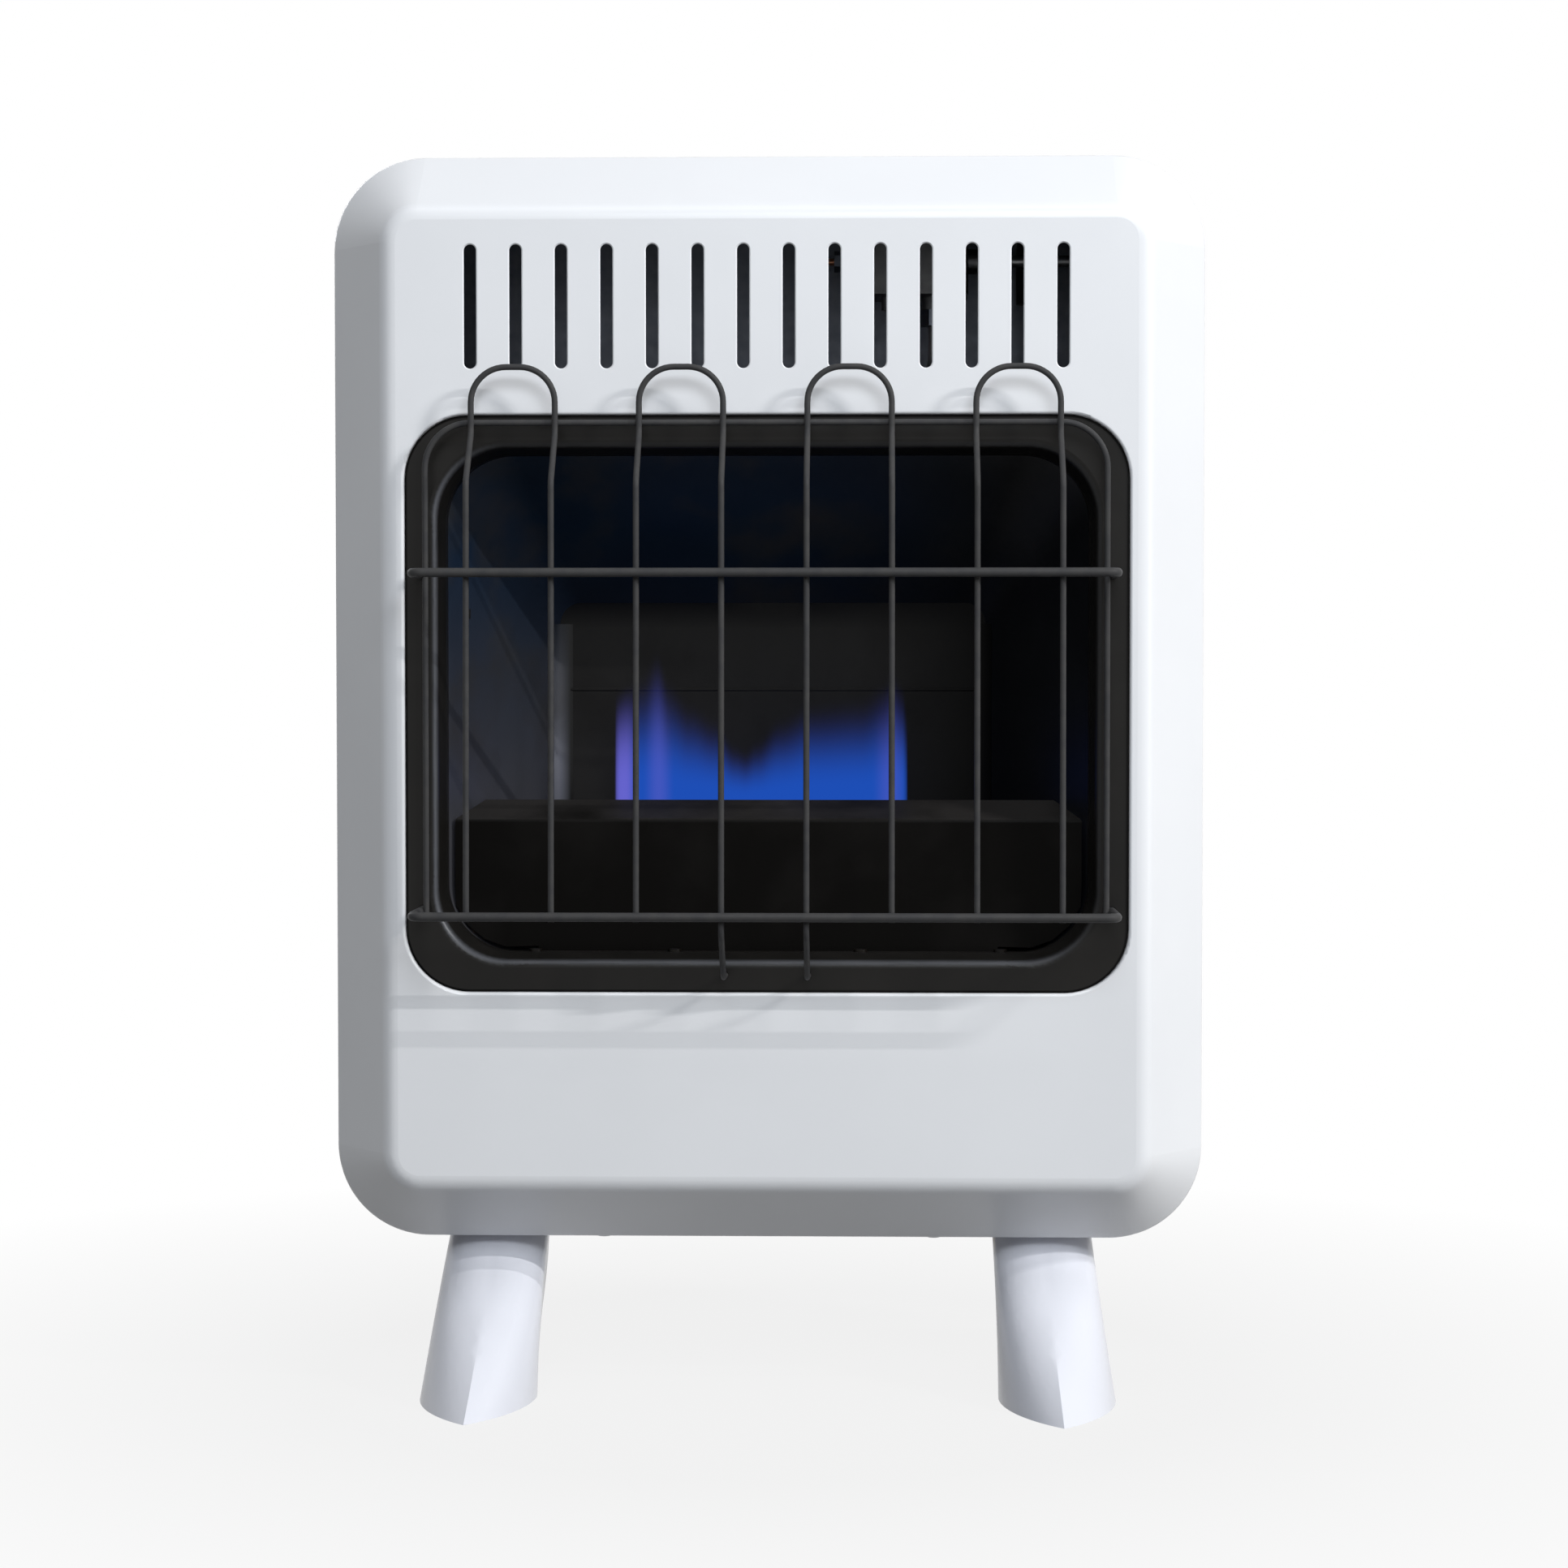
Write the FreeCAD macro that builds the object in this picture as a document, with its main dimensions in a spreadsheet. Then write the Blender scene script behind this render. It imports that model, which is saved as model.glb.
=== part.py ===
import FreeCAD, Part
import math
import operator
import os
import Sketcher
from collections import namedtuple
from FreeCAD import Placement, Rotation, Vector
from types import SimpleNamespace

# Ventless blue-flame gas heater on two legs
# The origin is on the floor below the middle, +X to the viewer's right, the front faces -Y, +Z is up

# Driving sizes in millimetres
SIZES = {
    # casing
    "case_width": 470,
    "case_height": 585,
    "case_depth": 165,
    "rim_radius": 50,
    "rim_round": 4,
    "bevel_inset": 33,
    "bevel_depth": 40,
    "bevel_round": 12,
    "panel_wall": 1.2,
    "panel_skirt": 12,
    "shell_wall": 1,
    "shell_lap": 10,
    "back_wall": 1,
    "back_flange": 12,
    "slip_gap": 0.25,
    "overrun": 4,
    # warm-air slots and firebox opening of the front panel
    "slot_margin": 18.7,
    "slot_side_margin": 45.3,
    "slot_length": 65.5,
    "slot_width": 6.5,
    "slot_coin": 0.6,
    "slot_gap": 24.4,
    "opening_margin": 9.8,
    "opening_rise": 136.9,
    "opening_radius": 34,
    "opening_lip": 5,
    "opening_roll": 1.6,
    # air inlets
    "inlet_slot_width": 6,
    "inlet_slot_length": 46,
    "inlet_slot_pitch": 17,
    "inlet_slot_rise": 75,
    "inlet_row_gap": 14,
    # wall keyholes
    "keyhole_spacing": 254,
    "keyhole_drop": 24,
    "keyhole_radius": 5.5,
    "keyhole_neck": 2.8,
    "keyhole_length": 11,
    # bezel
    "bezel_gap": 1.5,
    "bezel_recess": 2,
    "bezel_wall": 1,
    "bezel_skirt": 6,
    "bezel_flange": 15.5,
    "bezel_border": 5,
    "bezel_crease_radius": 37,
    "bezel_slope": 3.2,
    "bezel_depth": 16,
    "bezel_throat_radius": 36,
    "bezel_lip": 9,
    "bezel_round": 5,
    # wire guard
    "wire_radius": 1.6,
    "rod_radius": 2.4,
    "weld": 0.3,
    "loop_standoff": 13,
    "guard_standoff": 36,
    "guard_lean": 5,
    "loop_rise": 24,
    "loop_radius": 18.5,
    "frame_drop": 5,
    "frame_radius": 24,
    "kink_drop": 11,
    "kink_height": 26,
    "kink_bend": 9,
    "upper_rod_drop": 84.5,
    "lower_rod_rise": 43.5,
    "rod_inset": 9,
    "rod_bend": 6,
    "wire_overhang": 3,
    "hook_length": 4,
    "tail_drop": 9,
    "tail_reach": 12,
    # firebox
    "firebox_wall": 1,
    "firebox_depth": 121,
    "collar_length": 8,
    "cheek_taper": 53,
    "hood_drop": 78,
    "firebox_radius": 12,
    "back_border": 5,
    "spacer_radius": 6,
    "spacer_inset": 16,
    # burner shield
    "shield_wall": 1,
    "shield_setback": 3,
    "shield_height": 72,
    "shield_lip": 24.5,
    "shield_lip_rise": 9.7,
    "shield_foot": 16,
    "shield_gap": 2.5,
    "shield_bend": 2.5,
    "shield_notch": 12,
    # burner
    "burner_radius": 17,
    "burner_wall": 1,
    "burner_margin": 28,
    "burner_shift": 6,
    "burner_setback": 38,
    "burner_sink": 2.6,
    "burner_taper": 20,
    "throat_radius": 11,
    "throat_gap": 0.6,
    "throat_standout": 9,
    "mouth_radius": 15,
    "mouth_length": 6,
    "port_width": 1.8,
    "port_length": 10,
    "port_margin": 11,
    "saddle_inset": 40,
    "saddle_wall": 1.5,
    "saddle_width": 40,
    "saddle_foot": 15,
    "saddle_wrap": 8,
    # gas jet
    "spider_wall": 1.5,
    "spider_hole": 2.6,
    "spider_circle": 9.6,
    "jet_radius": 4,
    "jet_length": 12,
    "jet_hex": 9,
    "jet_hex_length": 8,
    "jet_tail_radius": 5,
    "jet_tail": 6,
    # pilot
    "pilot_gap": 4,
    "pilot_pitch": 9.5,
    "pilot_wall": 1.5,
    "pilot_width": 24,
    "pilot_shelf_drop": 8,
    "pilot_foot": 18,
    "pilot_edge": 5,
    "pilot_flange": 4.2,
    "pilot_flange_height": 2.5,
    "pilot_radius": 3.2,
    "pilot_rise": 20,
    "pilot_reach": 26,
    "sensor_radius": 2.4,
    "sensor_rise": 24,
    "insulator_radius": 3,
    "insulator_rise": 12,
    "spark_tip_radius": 0.8,
    "spark_tip": 9,
    # control tray on the top
    "tray_margin": 17,
    "tray_length": 120,
    "tray_width": 78,
    "tray_setback": 60,
    "tray_depth": 22,
    "tray_wall": 2,
    "tray_radius": 14,
    "tray_brim": 5,
    "tray_brim_height": 1.2,
    # gas valve and knob
    "knob_offset": 28,
    "knob_radius": 21,
    "knob_lift": 5.8,
    "knob_skirt": 6,
    "knob_height": 20,
    "knob_grip": 13,
    "knob_round": 1.5,
    "knob_wall": 2.5,
    "knob_recess": 3.5,
    "knob_travel": 4,
    "stem_radius": 4,
    "stem_rise": 17,
    "stem_depth": 26,
    "plunger_radius": 2.5,
    "plunger_length": 12,
    "fit_gap": 0.1,
    "valve_length": 58,
    "valve_width": 42,
    "valve_height": 44,
    "valve_radius": 6,
    "neck_radius": 9,
    "neck_rise": 1,
    "boss_wall": 3.6,
    "boss_length": 7,
    "port_rise": 20,
    "inlet_port_offset": 12,
    "sensor_port_offset": 14,
    # spark igniter
    "igniter_offset": 38,
    "igniter_setback": 18,
    "igniter_radius": 9,
    "igniter_length": 48,
    "igniter_flange": 12.5,
    "igniter_flange_height": 3,
    "igniter_nut": 14,
    "igniter_nut_height": 6,
    "button_radius": 6,
    "button_head": 8,
    "button_head_height": 5,
    "button_travel": 8,
    "button_depth": 16,
    # regulator and gas inlet
    "regulator_radius": 24,
    "regulator_gap": 3,
    "regulator_base": 14,
    "regulator_base_height": 13,
    "regulator_body_height": 24,
    "regulator_cap": 15,
    "regulator_cap_height": 13,
    "regulator_edge": 2.5,
    "inlet_shift": 4,
    "inlet_radius": 7.94,
    "inlet_length": 12,
    "inlet_neck": 9,
    "inlet_bore": 4.5,
    "locknut_radius": 13.5,
    "locknut_height": 4,
    # gas tubes and leads
    "inlet_tube_radius": 4.8,
    "supply_tube_radius": 3.2,
    "pilot_tube_radius": 2,
    "sensor_lead_radius": 1.2,
    "spark_lead_radius": 1.8,
    "tube_bend": 13,
    "lead_bend": 10,
    "nut_wall": 4,
    "nut_height": 9,
    "lane_split": 8,
    "pilot_lane": 62,
    "sensor_lane": 30,
    "spark_drop": 12,
    "pilot_drop": 25,
    "sensor_drop": 36,
    "spark_sweep": 70,
    "jog_low": 38,
    "jog_high": 78,
    "valve_clear": 26,
    "valve_sweep": 72,
    # legs
    "leg_height": 84,
    "leg_inset": 85,
    "leg_cap": 5,
    "leg_wall": 3,
    "leg_top_width": 54.5,
    "leg_top_rear": 48,
    "leg_top_length": 80,
    "leg_top_setback": 1.5,
    "leg_waist_rise": 38,
    "leg_waist_width": 58,
    "leg_waist_rear": 42,
    "leg_waist_length": 176,
    "leg_waist_nose": 34,
    "leg_waist_shift": 3,
    "leg_toe_width": 63,
    "leg_toe_rear": 36,
    "leg_toe_length": 264,
    "leg_toe_nose": 72,
    "leg_toe_shift": 6,
    "arch_width": 124,
    "arch_height": 26,
    # screws
    "screw_radius": 1.75,
    "screw_head": 3.6,
    "screw_head_height": 1.4,
    "panel_head_height": 0.8,
    "screw_length": 8,
    "screw_gap": 0.3,
    "bezel_screw_inset": 11,
    "panel_screw_spacing": 180,
    "back_screw_spacing": 360,
    "leg_screw_spacing": 40,
    "leg_screw_radius": 2.3,
    "leg_screw_head": 4.6,
    "leg_screw_head_height": 2.6,
    "leg_screw_length": 13,
    "valve_screw_inset": 4.5,
    "shield_screw_inset": 16,
}

# Counts and shares
COUNTS = {"slot_count": 14, "port_count": 28, "inlet_slot_count": 11}
GUARD_WIRES = 8
GUARD_PITCH_SHARE = 0.1207
BEZEL_SCREW_SHARES = (-1, -0.4, 0.4, 1)
SPIDER_HOLES = 6
HEX_SIDES = 6
SHIELD_TURNS = (10, 30, 50, 70)

UP = Vector(0, 0, 1)
DOWN = Vector(0, 0, -1)
RIGHT = Vector(1, 0, 0)
LEFT = Vector(-1, 0, 0)
REAR = Vector(0, 1, 0)
FRONT = Vector(0, -1, 0)

doc = FreeCAD.newDocument("gas_heater")
sheet = doc.addObject("Spreadsheet::Sheet", "Sizes")
for row, (alias, value) in enumerate({**SIZES, **COUNTS}.items(), 1):
    sheet.set(f"A{row}", str(value))
    sheet.setAlias(f"A{row}", alias)
doc.recompute()

nodes = []


class Size:
    # A length: its value in millimetres, and the same sum written as a formula on the sheet

    def __init__(self, length, formula):
        self.value = length
        self.formula = formula

    def __add__(self, other):
        return joined(self, "+", other)

    def __radd__(self, other):
        return joined(other, "+", self)

    def __sub__(self, other):
        return joined(self, "-", other)

    def __rsub__(self, other):
        return joined(other, "-", self)

    def __mul__(self, other):
        return joined(self, "*", other)

    def __rmul__(self, other):
        return joined(other, "*", self)

    def __truediv__(self, other):
        return joined(self, "/", other)

    def __neg__(self):
        return joined(0, "-", self)


SIGNS = {"+": operator.add, "-": operator.sub, "*": operator.mul, "/": operator.truediv}


def as_size(thing):
    return thing if isinstance(thing, Size) else Size(float(thing), str(thing))


def joined(first, sign, second):
    first = as_size(first)
    second = as_size(second)
    total = SIGNS[sign](first.value, second.value)
    return Size(total, f"({first.formula} {sign} {second.formula})")


size = SimpleNamespace(**{alias: Size(float(sheet.get(alias)), f"Sizes.{alias}") for alias in SIZES})
zero = Size(0.0, "0")
Outline = namedtuple("Outline", "width height radius middle")


def grown(outline, amount):
    width = outline.width + 2 * amount
    height = outline.height + 2 * amount
    return Outline(width, height, outline.radius + amount, outline.middle)


def bind(item, **lengths):
    for path, length in lengths.items():
        item.setExpression(path, as_size(length).formula)


# Bodies and sketches

def new_body(label):
    body = doc.addObject("PartDesign::Body", label)
    nodes.append(body)
    return body


def sketch_on(body, role, offset):
    plane = next(item for item in body.Origin.OriginFeatures if item.Role == role)
    sketch = body.newObject("Sketcher::SketchObject", "sketch")
    sketch.AttachmentSupport = (plane, [""])
    sketch.MapMode = "FlatFace"
    sketch.setExpression("AttachmentOffset.Base.z", as_size(offset).formula)
    return sketch


def front_sketch(body, y):
    return sketch_on(body, "XZ_Plane", -y)


def side_sketch(body, x):
    return sketch_on(body, "YZ_Plane", x)


def plan_sketch(body, z):
    return sketch_on(body, "XY_Plane", z)


def fix(sketch, kind, *where):
    *places, length = where
    length = as_size(length)
    index = sketch.addConstraint(Sketcher.Constraint(kind, *places, length.value))
    sketch.setExpression(f"Constraints[{index}]", length.formula)


def fix_point(sketch, geometry, end, x, y):
    fix(sketch, "DistanceX", geometry, end, x)
    fix(sketch, "DistanceY", geometry, end, y)


def add_line(sketch, start, end):
    first = Vector(as_size(start[0]).value, as_size(start[1]).value, 0)
    second = Vector(as_size(end[0]).value, as_size(end[1]).value, 0)
    return sketch.addGeometry(Part.LineSegment(first, second), False)


def add_arc(sketch, centre, radius, start_degrees, end_degrees):
    middle = Vector(centre[0].value, centre[1].value, 0)
    ring = Part.Circle(middle, UP, radius.value)
    arc = Part.ArcOfCircle(ring, math.radians(start_degrees), math.radians(end_degrees))
    return sketch.addGeometry(arc, False)


def join_smoothly(sketch, first, second):
    sketch.addConstraint(Sketcher.Constraint("Tangent", first, 2, second, 1))


def draw_circle(sketch, x, y, radius):
    middle = Vector(as_size(x).value, as_size(y).value, 0)
    ring = sketch.addGeometry(Part.Circle(middle, UP, radius.value), False)
    fix(sketch, "Radius", ring, radius)
    fix_point(sketch, ring, 3, x, y)
    return sketch


def draw_polygon(sketch, points):
    lines = [add_line(sketch, *pair) for pair in zip(points, points[1:] + points[:1])]
    for line, after in zip(lines, lines[1:] + lines[:1]):
        sketch.addConstraint(Sketcher.Constraint("Coincident", line, 2, after, 1))
    for line, point in zip(lines, points):
        fix_point(sketch, line, 1, *point)
    return sketch


def draw_outline(sketch, outline, x=zero):
    # Rectangle with rounded corners
    radius = outline.radius
    west = x - outline.width / 2
    east = x + outline.width / 2
    low = outline.middle - outline.height / 2
    high = outline.middle + outline.height / 2
    bottom = add_line(sketch, (west + radius, low), (east - radius, low))
    corners = [add_arc(sketch, (east - radius, low + radius), radius, -90, 0)]
    right = add_line(sketch, (east, low + radius), (east, high - radius))
    corners.append(add_arc(sketch, (east - radius, high - radius), radius, 0, 90))
    top = add_line(sketch, (east - radius, high), (west + radius, high))
    corners.append(add_arc(sketch, (west + radius, high - radius), radius, 90, 180))
    left = add_line(sketch, (west, high - radius), (west, low + radius))
    corners.append(add_arc(sketch, (west + radius, low + radius), radius, 180, 270))
    ring = [edge for pair in zip((bottom, right, top, left), corners) for edge in pair]
    for edge, after in zip(ring, ring[1:] + ring[:1]):
        join_smoothly(sketch, edge, after)
    for edge in (bottom, top):
        sketch.addConstraint(Sketcher.Constraint("Horizontal", edge))
    for edge in (left, right):
        sketch.addConstraint(Sketcher.Constraint("Vertical", edge))
    for corner in corners[1:]:
        sketch.addConstraint(Sketcher.Constraint("Equal", corners[0], corner))
    fix(sketch, "Radius", corners[0], radius)
    fix(sketch, "DistanceX", left, 1, west)
    fix(sketch, "DistanceX", right, 1, east)
    fix(sketch, "DistanceY", bottom, 1, low)
    fix(sketch, "DistanceY", top, 1, high)
    return sketch


def draw_slot(sketch, x, y, width, length):
    # Round-ended slot whose long side runs along the sketch's second axis
    radius = width / 2
    half = length / 2 - radius
    right = add_line(sketch, (x + radius, y - half), (x + radius, y + half))
    cap = add_arc(sketch, (as_size(x), y + half), radius, 0, 180)
    left = add_line(sketch, (x - radius, y + half), (x - radius, y - half))
    foot = add_arc(sketch, (as_size(x), y - half), radius, 180, 360)
    ring = [right, cap, left, foot]
    for edge, after in zip(ring, ring[1:] + ring[:1]):
        join_smoothly(sketch, edge, after)
    for edge in (left, right):
        sketch.addConstraint(Sketcher.Constraint("Vertical", edge))
    fix(sketch, "DistanceX", left, 1, x - radius)
    fix(sketch, "DistanceX", right, 1, x + radius)
    fix(sketch, "DistanceY", cap, 3, y + half)
    fix(sketch, "DistanceY", foot, 3, y - half)
    return sketch


def draw_prow(sketch, x, y, widths, length, nose):
    # Long plan of a leg: flanks that close towards the rear, and two arcs that meet in a point at each end
    front, rear = (width / 2 for width in widths)
    flank = length / 2 - nose
    flanks = {}
    for side in (1, -1):
        edge = add_line(sketch, (x + side * front, y - flank), (x + side * rear, y + flank))
        fix_point(sketch, edge, 1, x + side * front, y - flank)
        fix_point(sketch, edge, 2, x + side * rear, y + flank)
        flanks[side] = edge
    for way, half in ((-1, front), (1, rear)):
        radius = (nose * nose + half * half) / (2 * half)
        turn = math.degrees(math.atan2(nose.value, (radius - half).value))
        tips = []
        for side in (1, -1):
            centre = (x + side * (half - radius), y + way * flank)
            start = 0 if side > 0 else 180
            ends = (start, start + turn) if side * way > 0 else (start - turn, start)
            arc = add_arc(sketch, centre, radius, *ends)
            at_flank = 1 if side * way > 0 else 2
            end = 1 if way < 0 else 2
            sketch.addConstraint(Sketcher.Constraint("Coincident", arc, at_flank, flanks[side], end))
            fix(sketch, "DistanceY", arc, 3, y + way * flank)
            tips.append((arc, 3 - at_flank))
        sketch.addConstraint(Sketcher.Constraint("Coincident", *tips[0], *tips[1]))
        fix_point(sketch, *tips[0], x, y + way * (length / 2))
    return sketch


# Features: a positive way runs along the sketch's own normal, which is -Y, +X or +Z

def pad(body, sketch, length, way=1):
    feature = body.newObject("PartDesign::Pad", "pad")
    feature.Profile = sketch
    feature.Reversed = way < 0
    if not way:
        feature.SideType = "Symmetric"
    bind(feature, Length=length)
    return feature


def pocket(body, sketch, length, way=1):
    feature = body.newObject("PartDesign::Pocket", "pocket")
    feature.Profile = sketch
    feature.Reversed = way > 0
    if not way:
        feature.SideType = "Symmetric"
    bind(feature, Length=length)
    return feature


def loft(body, kind, sections, ruled=True):
    feature = body.newObject(f"PartDesign::{kind}", "loft")
    feature.Profile = sections[0]
    feature.Sections = sections[1:]
    feature.Ruled = ruled
    return feature


def revolve(body, sketch, axis):
    feature = body.newObject("PartDesign::Revolution", "revolution")
    feature.Profile = sketch
    feature.ReferenceAxis = (sketch, [axis])
    feature.Angle = 360
    return feature


def row_of(body, feature, sketch, axis, length, count_alias):
    pattern = body.newObject("PartDesign::LinearPattern", "row")
    pattern.Originals = [feature]
    pattern.Direction = (sketch, [axis])
    bind(pattern, Length=length)
    pattern.setExpression("Occurrences", f"Sizes.{count_alias}")
    body.Tip = pattern
    return pattern


def edges_where(body, test):
    doc.recompute()
    numbered = enumerate(body.Tip.Shape.Edges, 1)
    return [f"Edge{number}" for number, edge in numbered if test(edge)]


def fillet(body, test, radius, kind="Fillet"):
    names = edges_where(body, test)
    feature = body.newObject(f"PartDesign::{kind}", kind.lower())
    feature.Base = (body.Tip if body.Tip != feature else feature.BaseFeature, names)
    bind(feature, **{"Radius" if kind == "Fillet" else "Size": radius})
    doc.recompute()
    return feature


def hollow(body, y, wall):
    # Leave a sheet of even thickness, open on the plane at one depth
    doc.recompute()
    solid = body.Tip
    test = lies_on("Y", y)
    names = [f"Face{number}" for number, face_of in enumerate(solid.Shape.Faces, 1) if test(face_of)]
    feature = body.newObject("PartDesign::Thickness", "sheet")
    feature.Base = (solid, names)
    feature.Reversed = True
    bind(feature, Value=wall)
    doc.recompute()
    return feature


def lies_on(axis, place):
    # Test for edges that lie in one plane across an axis
    def test(edge):
        box = edge.BoundBox
        low = getattr(box, axis + "Min")
        high = getattr(box, axis + "Max")
        return max(abs(low - place.value), abs(high - place.value)) < TOUCH
    return test


TOUCH = 1e-4


# Primitives, placed by their own formulas

def place(item, at, axis=UP):
    item.Placement = Placement(Vector(), Rotation(UP, axis))
    for name, length in zip("xyz", at):
        item.setExpression(f"Placement.Base.{name}", as_size(length).formula)
    return item


def cylinder(at, axis, radius, height):
    item = doc.addObject("Part::Cylinder", "cylinder")
    bind(item, Radius=radius, Height=height)
    return place(item, at, axis)


def hexagon(at, axis, radius, height):
    item = doc.addObject("Part::Prism", "hexagon")
    item.Polygon = HEX_SIDES
    bind(item, Circumradius=radius, Height=height)
    return place(item, at, axis)


def box(low, lengths):
    item = doc.addObject("Part::Box", "box")
    bind(item, Length=lengths[0], Width=lengths[1], Height=lengths[2])
    return place(item, low)


def fuse(items, label="fusion"):
    item = doc.addObject("Part::MultiFuse", label)
    item.Shapes = items
    return item


def cut(base, tools, label="cut"):
    item = doc.addObject("Part::Cut", label)
    item.Base = base
    item.Tool = tools[0] if len(tools) == 1 else fuse(tools)
    return item


def group(label, items):
    item = doc.addObject("Part::Compound", label)
    item.Links = items
    nodes.append(item)
    return item


def as_node(item):
    nodes.append(item)
    return item


def shifted(at, axis, length):
    way = (axis.x, axis.y, axis.z)
    return tuple(place + step * length if step else as_size(place) for place, step in zip(at, way))


def screw(at, axis, radius, length, head, head_height):
    # Pan-head screw: the place is under the head, the axis runs towards the tip
    shank = cylinder(at, axis, radius, length)
    cap = cylinder(shifted(at, axis, -head_height), axis, head, head_height)
    return fuse([shank, cap])


def small_screw(at, axis):
    return screw(at, axis, size.screw_radius, size.screw_length, size.screw_head, size.screw_head_height)


def nut(at, axis, bore, radius, height):
    start = shifted(at, axis, -size.overrun)
    hole = cylinder(start, axis, bore, height + 2 * size.overrun)
    return cut(hexagon(at, axis, radius, height), [hole])


# Bent wires and tubes: straight runs joined by tangent arcs

def rounded_path(points, bends):
    edges = []
    start = points[0]
    for before, corner, after, bend in zip(points, points[1:], points[2:], bends):
        back = (before - corner).normalize()
        onward = (after - corner).normalize()
        half = back.getAngle(onward) / 2
        middle = (back + onward).normalize()
        first = corner + back * (bend / math.tan(half))
        last = corner + onward * (bend / math.tan(half))
        centre = corner + middle * (bend / math.sin(half))
        if (first - start).Length > TOUCH:
            edges.append(Part.LineSegment(start, first).toShape())
        edges.append(Part.Arc(first, centre - middle * bend, last).toShape())
        start = last
    edges.append(Part.LineSegment(start, points[-1]).toShape())
    return Part.Wire(edges)


def swept_rod(route, radius, bends):
    points = [Vector(*(as_size(length).value for length in point)) for point in route]
    path = rounded_path(points, [bend.value for bend in bends])
    ring = Part.Circle(points[0], points[1] - points[0], radius.value)
    rod = path.makePipeShell([Part.Wire(ring.toShape())], True, False)
    share = rod.Volume / (math.pi * radius.value ** 2 * path.Length)
    assert abs(share - 1) < 0.02, f"a swept rod has {share:.3f} of its volume"
    return rod


def bent_rod(label, route, radius, bend):
    item = doc.addObject("Part::Feature", label)
    item.Shape = swept_rod(route, radius, [bend] * (len(route) - 2))
    return as_node(item)


# Planes and outlines of the casing
face_y = -size.case_depth / 2
rim_y = face_y + size.bevel_depth
skirt_y = rim_y + size.panel_skirt
back_y = size.case_depth / 2
back_inner_y = back_y - size.back_wall
shell_y = skirt_y - size.shell_lap
case_bottom = size.leg_height
case_top = case_bottom + size.case_height
rim = Outline(size.case_width, size.case_height, size.rim_radius, case_bottom + size.case_height / 2)
face = grown(rim, -size.bevel_inset)
rim_inner = grown(rim, -size.panel_wall)
face_inner_share = (size.bevel_depth - size.panel_wall) / size.bevel_depth
face_inner = grown(rim_inner, -size.bevel_inset * face_inner_share)
shell = grown(rim_inner, -size.slip_gap)
shell_inner = grown(shell, -size.shell_wall)
shell_bottom = case_bottom + size.panel_wall + size.slip_gap
shell_floor = shell_bottom + size.shell_wall
shell_top = case_top - size.panel_wall - size.slip_gap
tray_plate = grown(shell_inner, -size.slip_gap)

# Slots and firebox opening, from the top of the face down
slot_top = case_top - size.bevel_inset - size.slot_margin
slot_middle = slot_top - size.slot_length / 2
slot_span = face.width - 2 * size.slot_side_margin
opening_top = slot_top - size.slot_length - size.slot_gap
opening_bottom = case_bottom + size.opening_rise
opening_middle = (opening_top + opening_bottom) / 2
opening = Outline(face.width - 2 * size.opening_margin, opening_top - opening_bottom,
                  size.opening_radius, opening_middle)

# Bezel: flange, slope and lip
bezel = grown(opening, -size.bezel_gap)
crease = grown(bezel, -size.bezel_flange)._replace(radius=size.bezel_crease_radius)
throat = grown(crease, -size.bezel_slope)._replace(radius=size.bezel_throat_radius)
bezel_y = face_y + size.bezel_recess
throat_y = bezel_y + size.bezel_depth
lip_y = throat_y + size.bezel_lip

# Firebox: a collar round the bezel's lip, then walls that taper to the back plate
collar = grown(throat, size.bezel_wall + size.slip_gap)
hearth = Outline(collar.width - 2 * size.cheek_taper, collar.height - size.hood_drop,
                 size.firebox_radius, collar.middle - size.hood_drop / 2)
hearth_y = face_y + size.firebox_depth
floor_z = collar.middle - collar.height / 2
corner_x = collar.width / 2 - collar.radius
cheek_share = size.cheek_taper / (hearth_y - lip_y)
spacer_x = hearth.width / 2 - size.spacer_inset
spacer_y = hearth_y + size.firebox_wall
spacer_heights = [hearth.middle + way * (hearth.height / 2 - size.spacer_inset) for way in (-1, 1)]


def cheek_x(y):
    # Inner face of the right-hand cheek at one depth
    return collar.width / 2 - (y - lip_y) * cheek_share


# Burner shield and burner
shield_y = lip_y + size.shield_setback
shield_z = floor_z + size.shield_height
burner_y = hearth_y - size.burner_setback
burner_z = shield_z + size.shield_lip_rise - size.burner_sink - size.burner_radius
burner_left = size.burner_margin - hearth.width / 2 - size.burner_shift
burner_right = hearth.width / 2 - size.burner_margin - size.burner_shift
taper_x = burner_right + size.burner_taper
throat_x = cheek_x(burner_y - size.throat_radius) + size.throat_standout
mouth_x = throat_x + size.mouth_length
spider_x = mouth_x + size.spider_wall
jet_x = spider_x + size.jet_hex_length
jet_end = jet_x + size.jet_tail
saddle_places = [burner_left + size.saddle_inset, burner_right - size.saddle_inset]

# Pilot, sensor and spark electrode on one shelf beside the burner
bracket_x = burner_left - size.pilot_gap
pilot_x = bracket_x - size.pilot_wall - size.pilot_edge
sensor_x = pilot_x - size.pilot_pitch
spark_x = sensor_x - size.pilot_pitch
shelf_z = burner_z - size.pilot_shelf_drop
shelf_end = spark_x - size.pilot_edge

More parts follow.
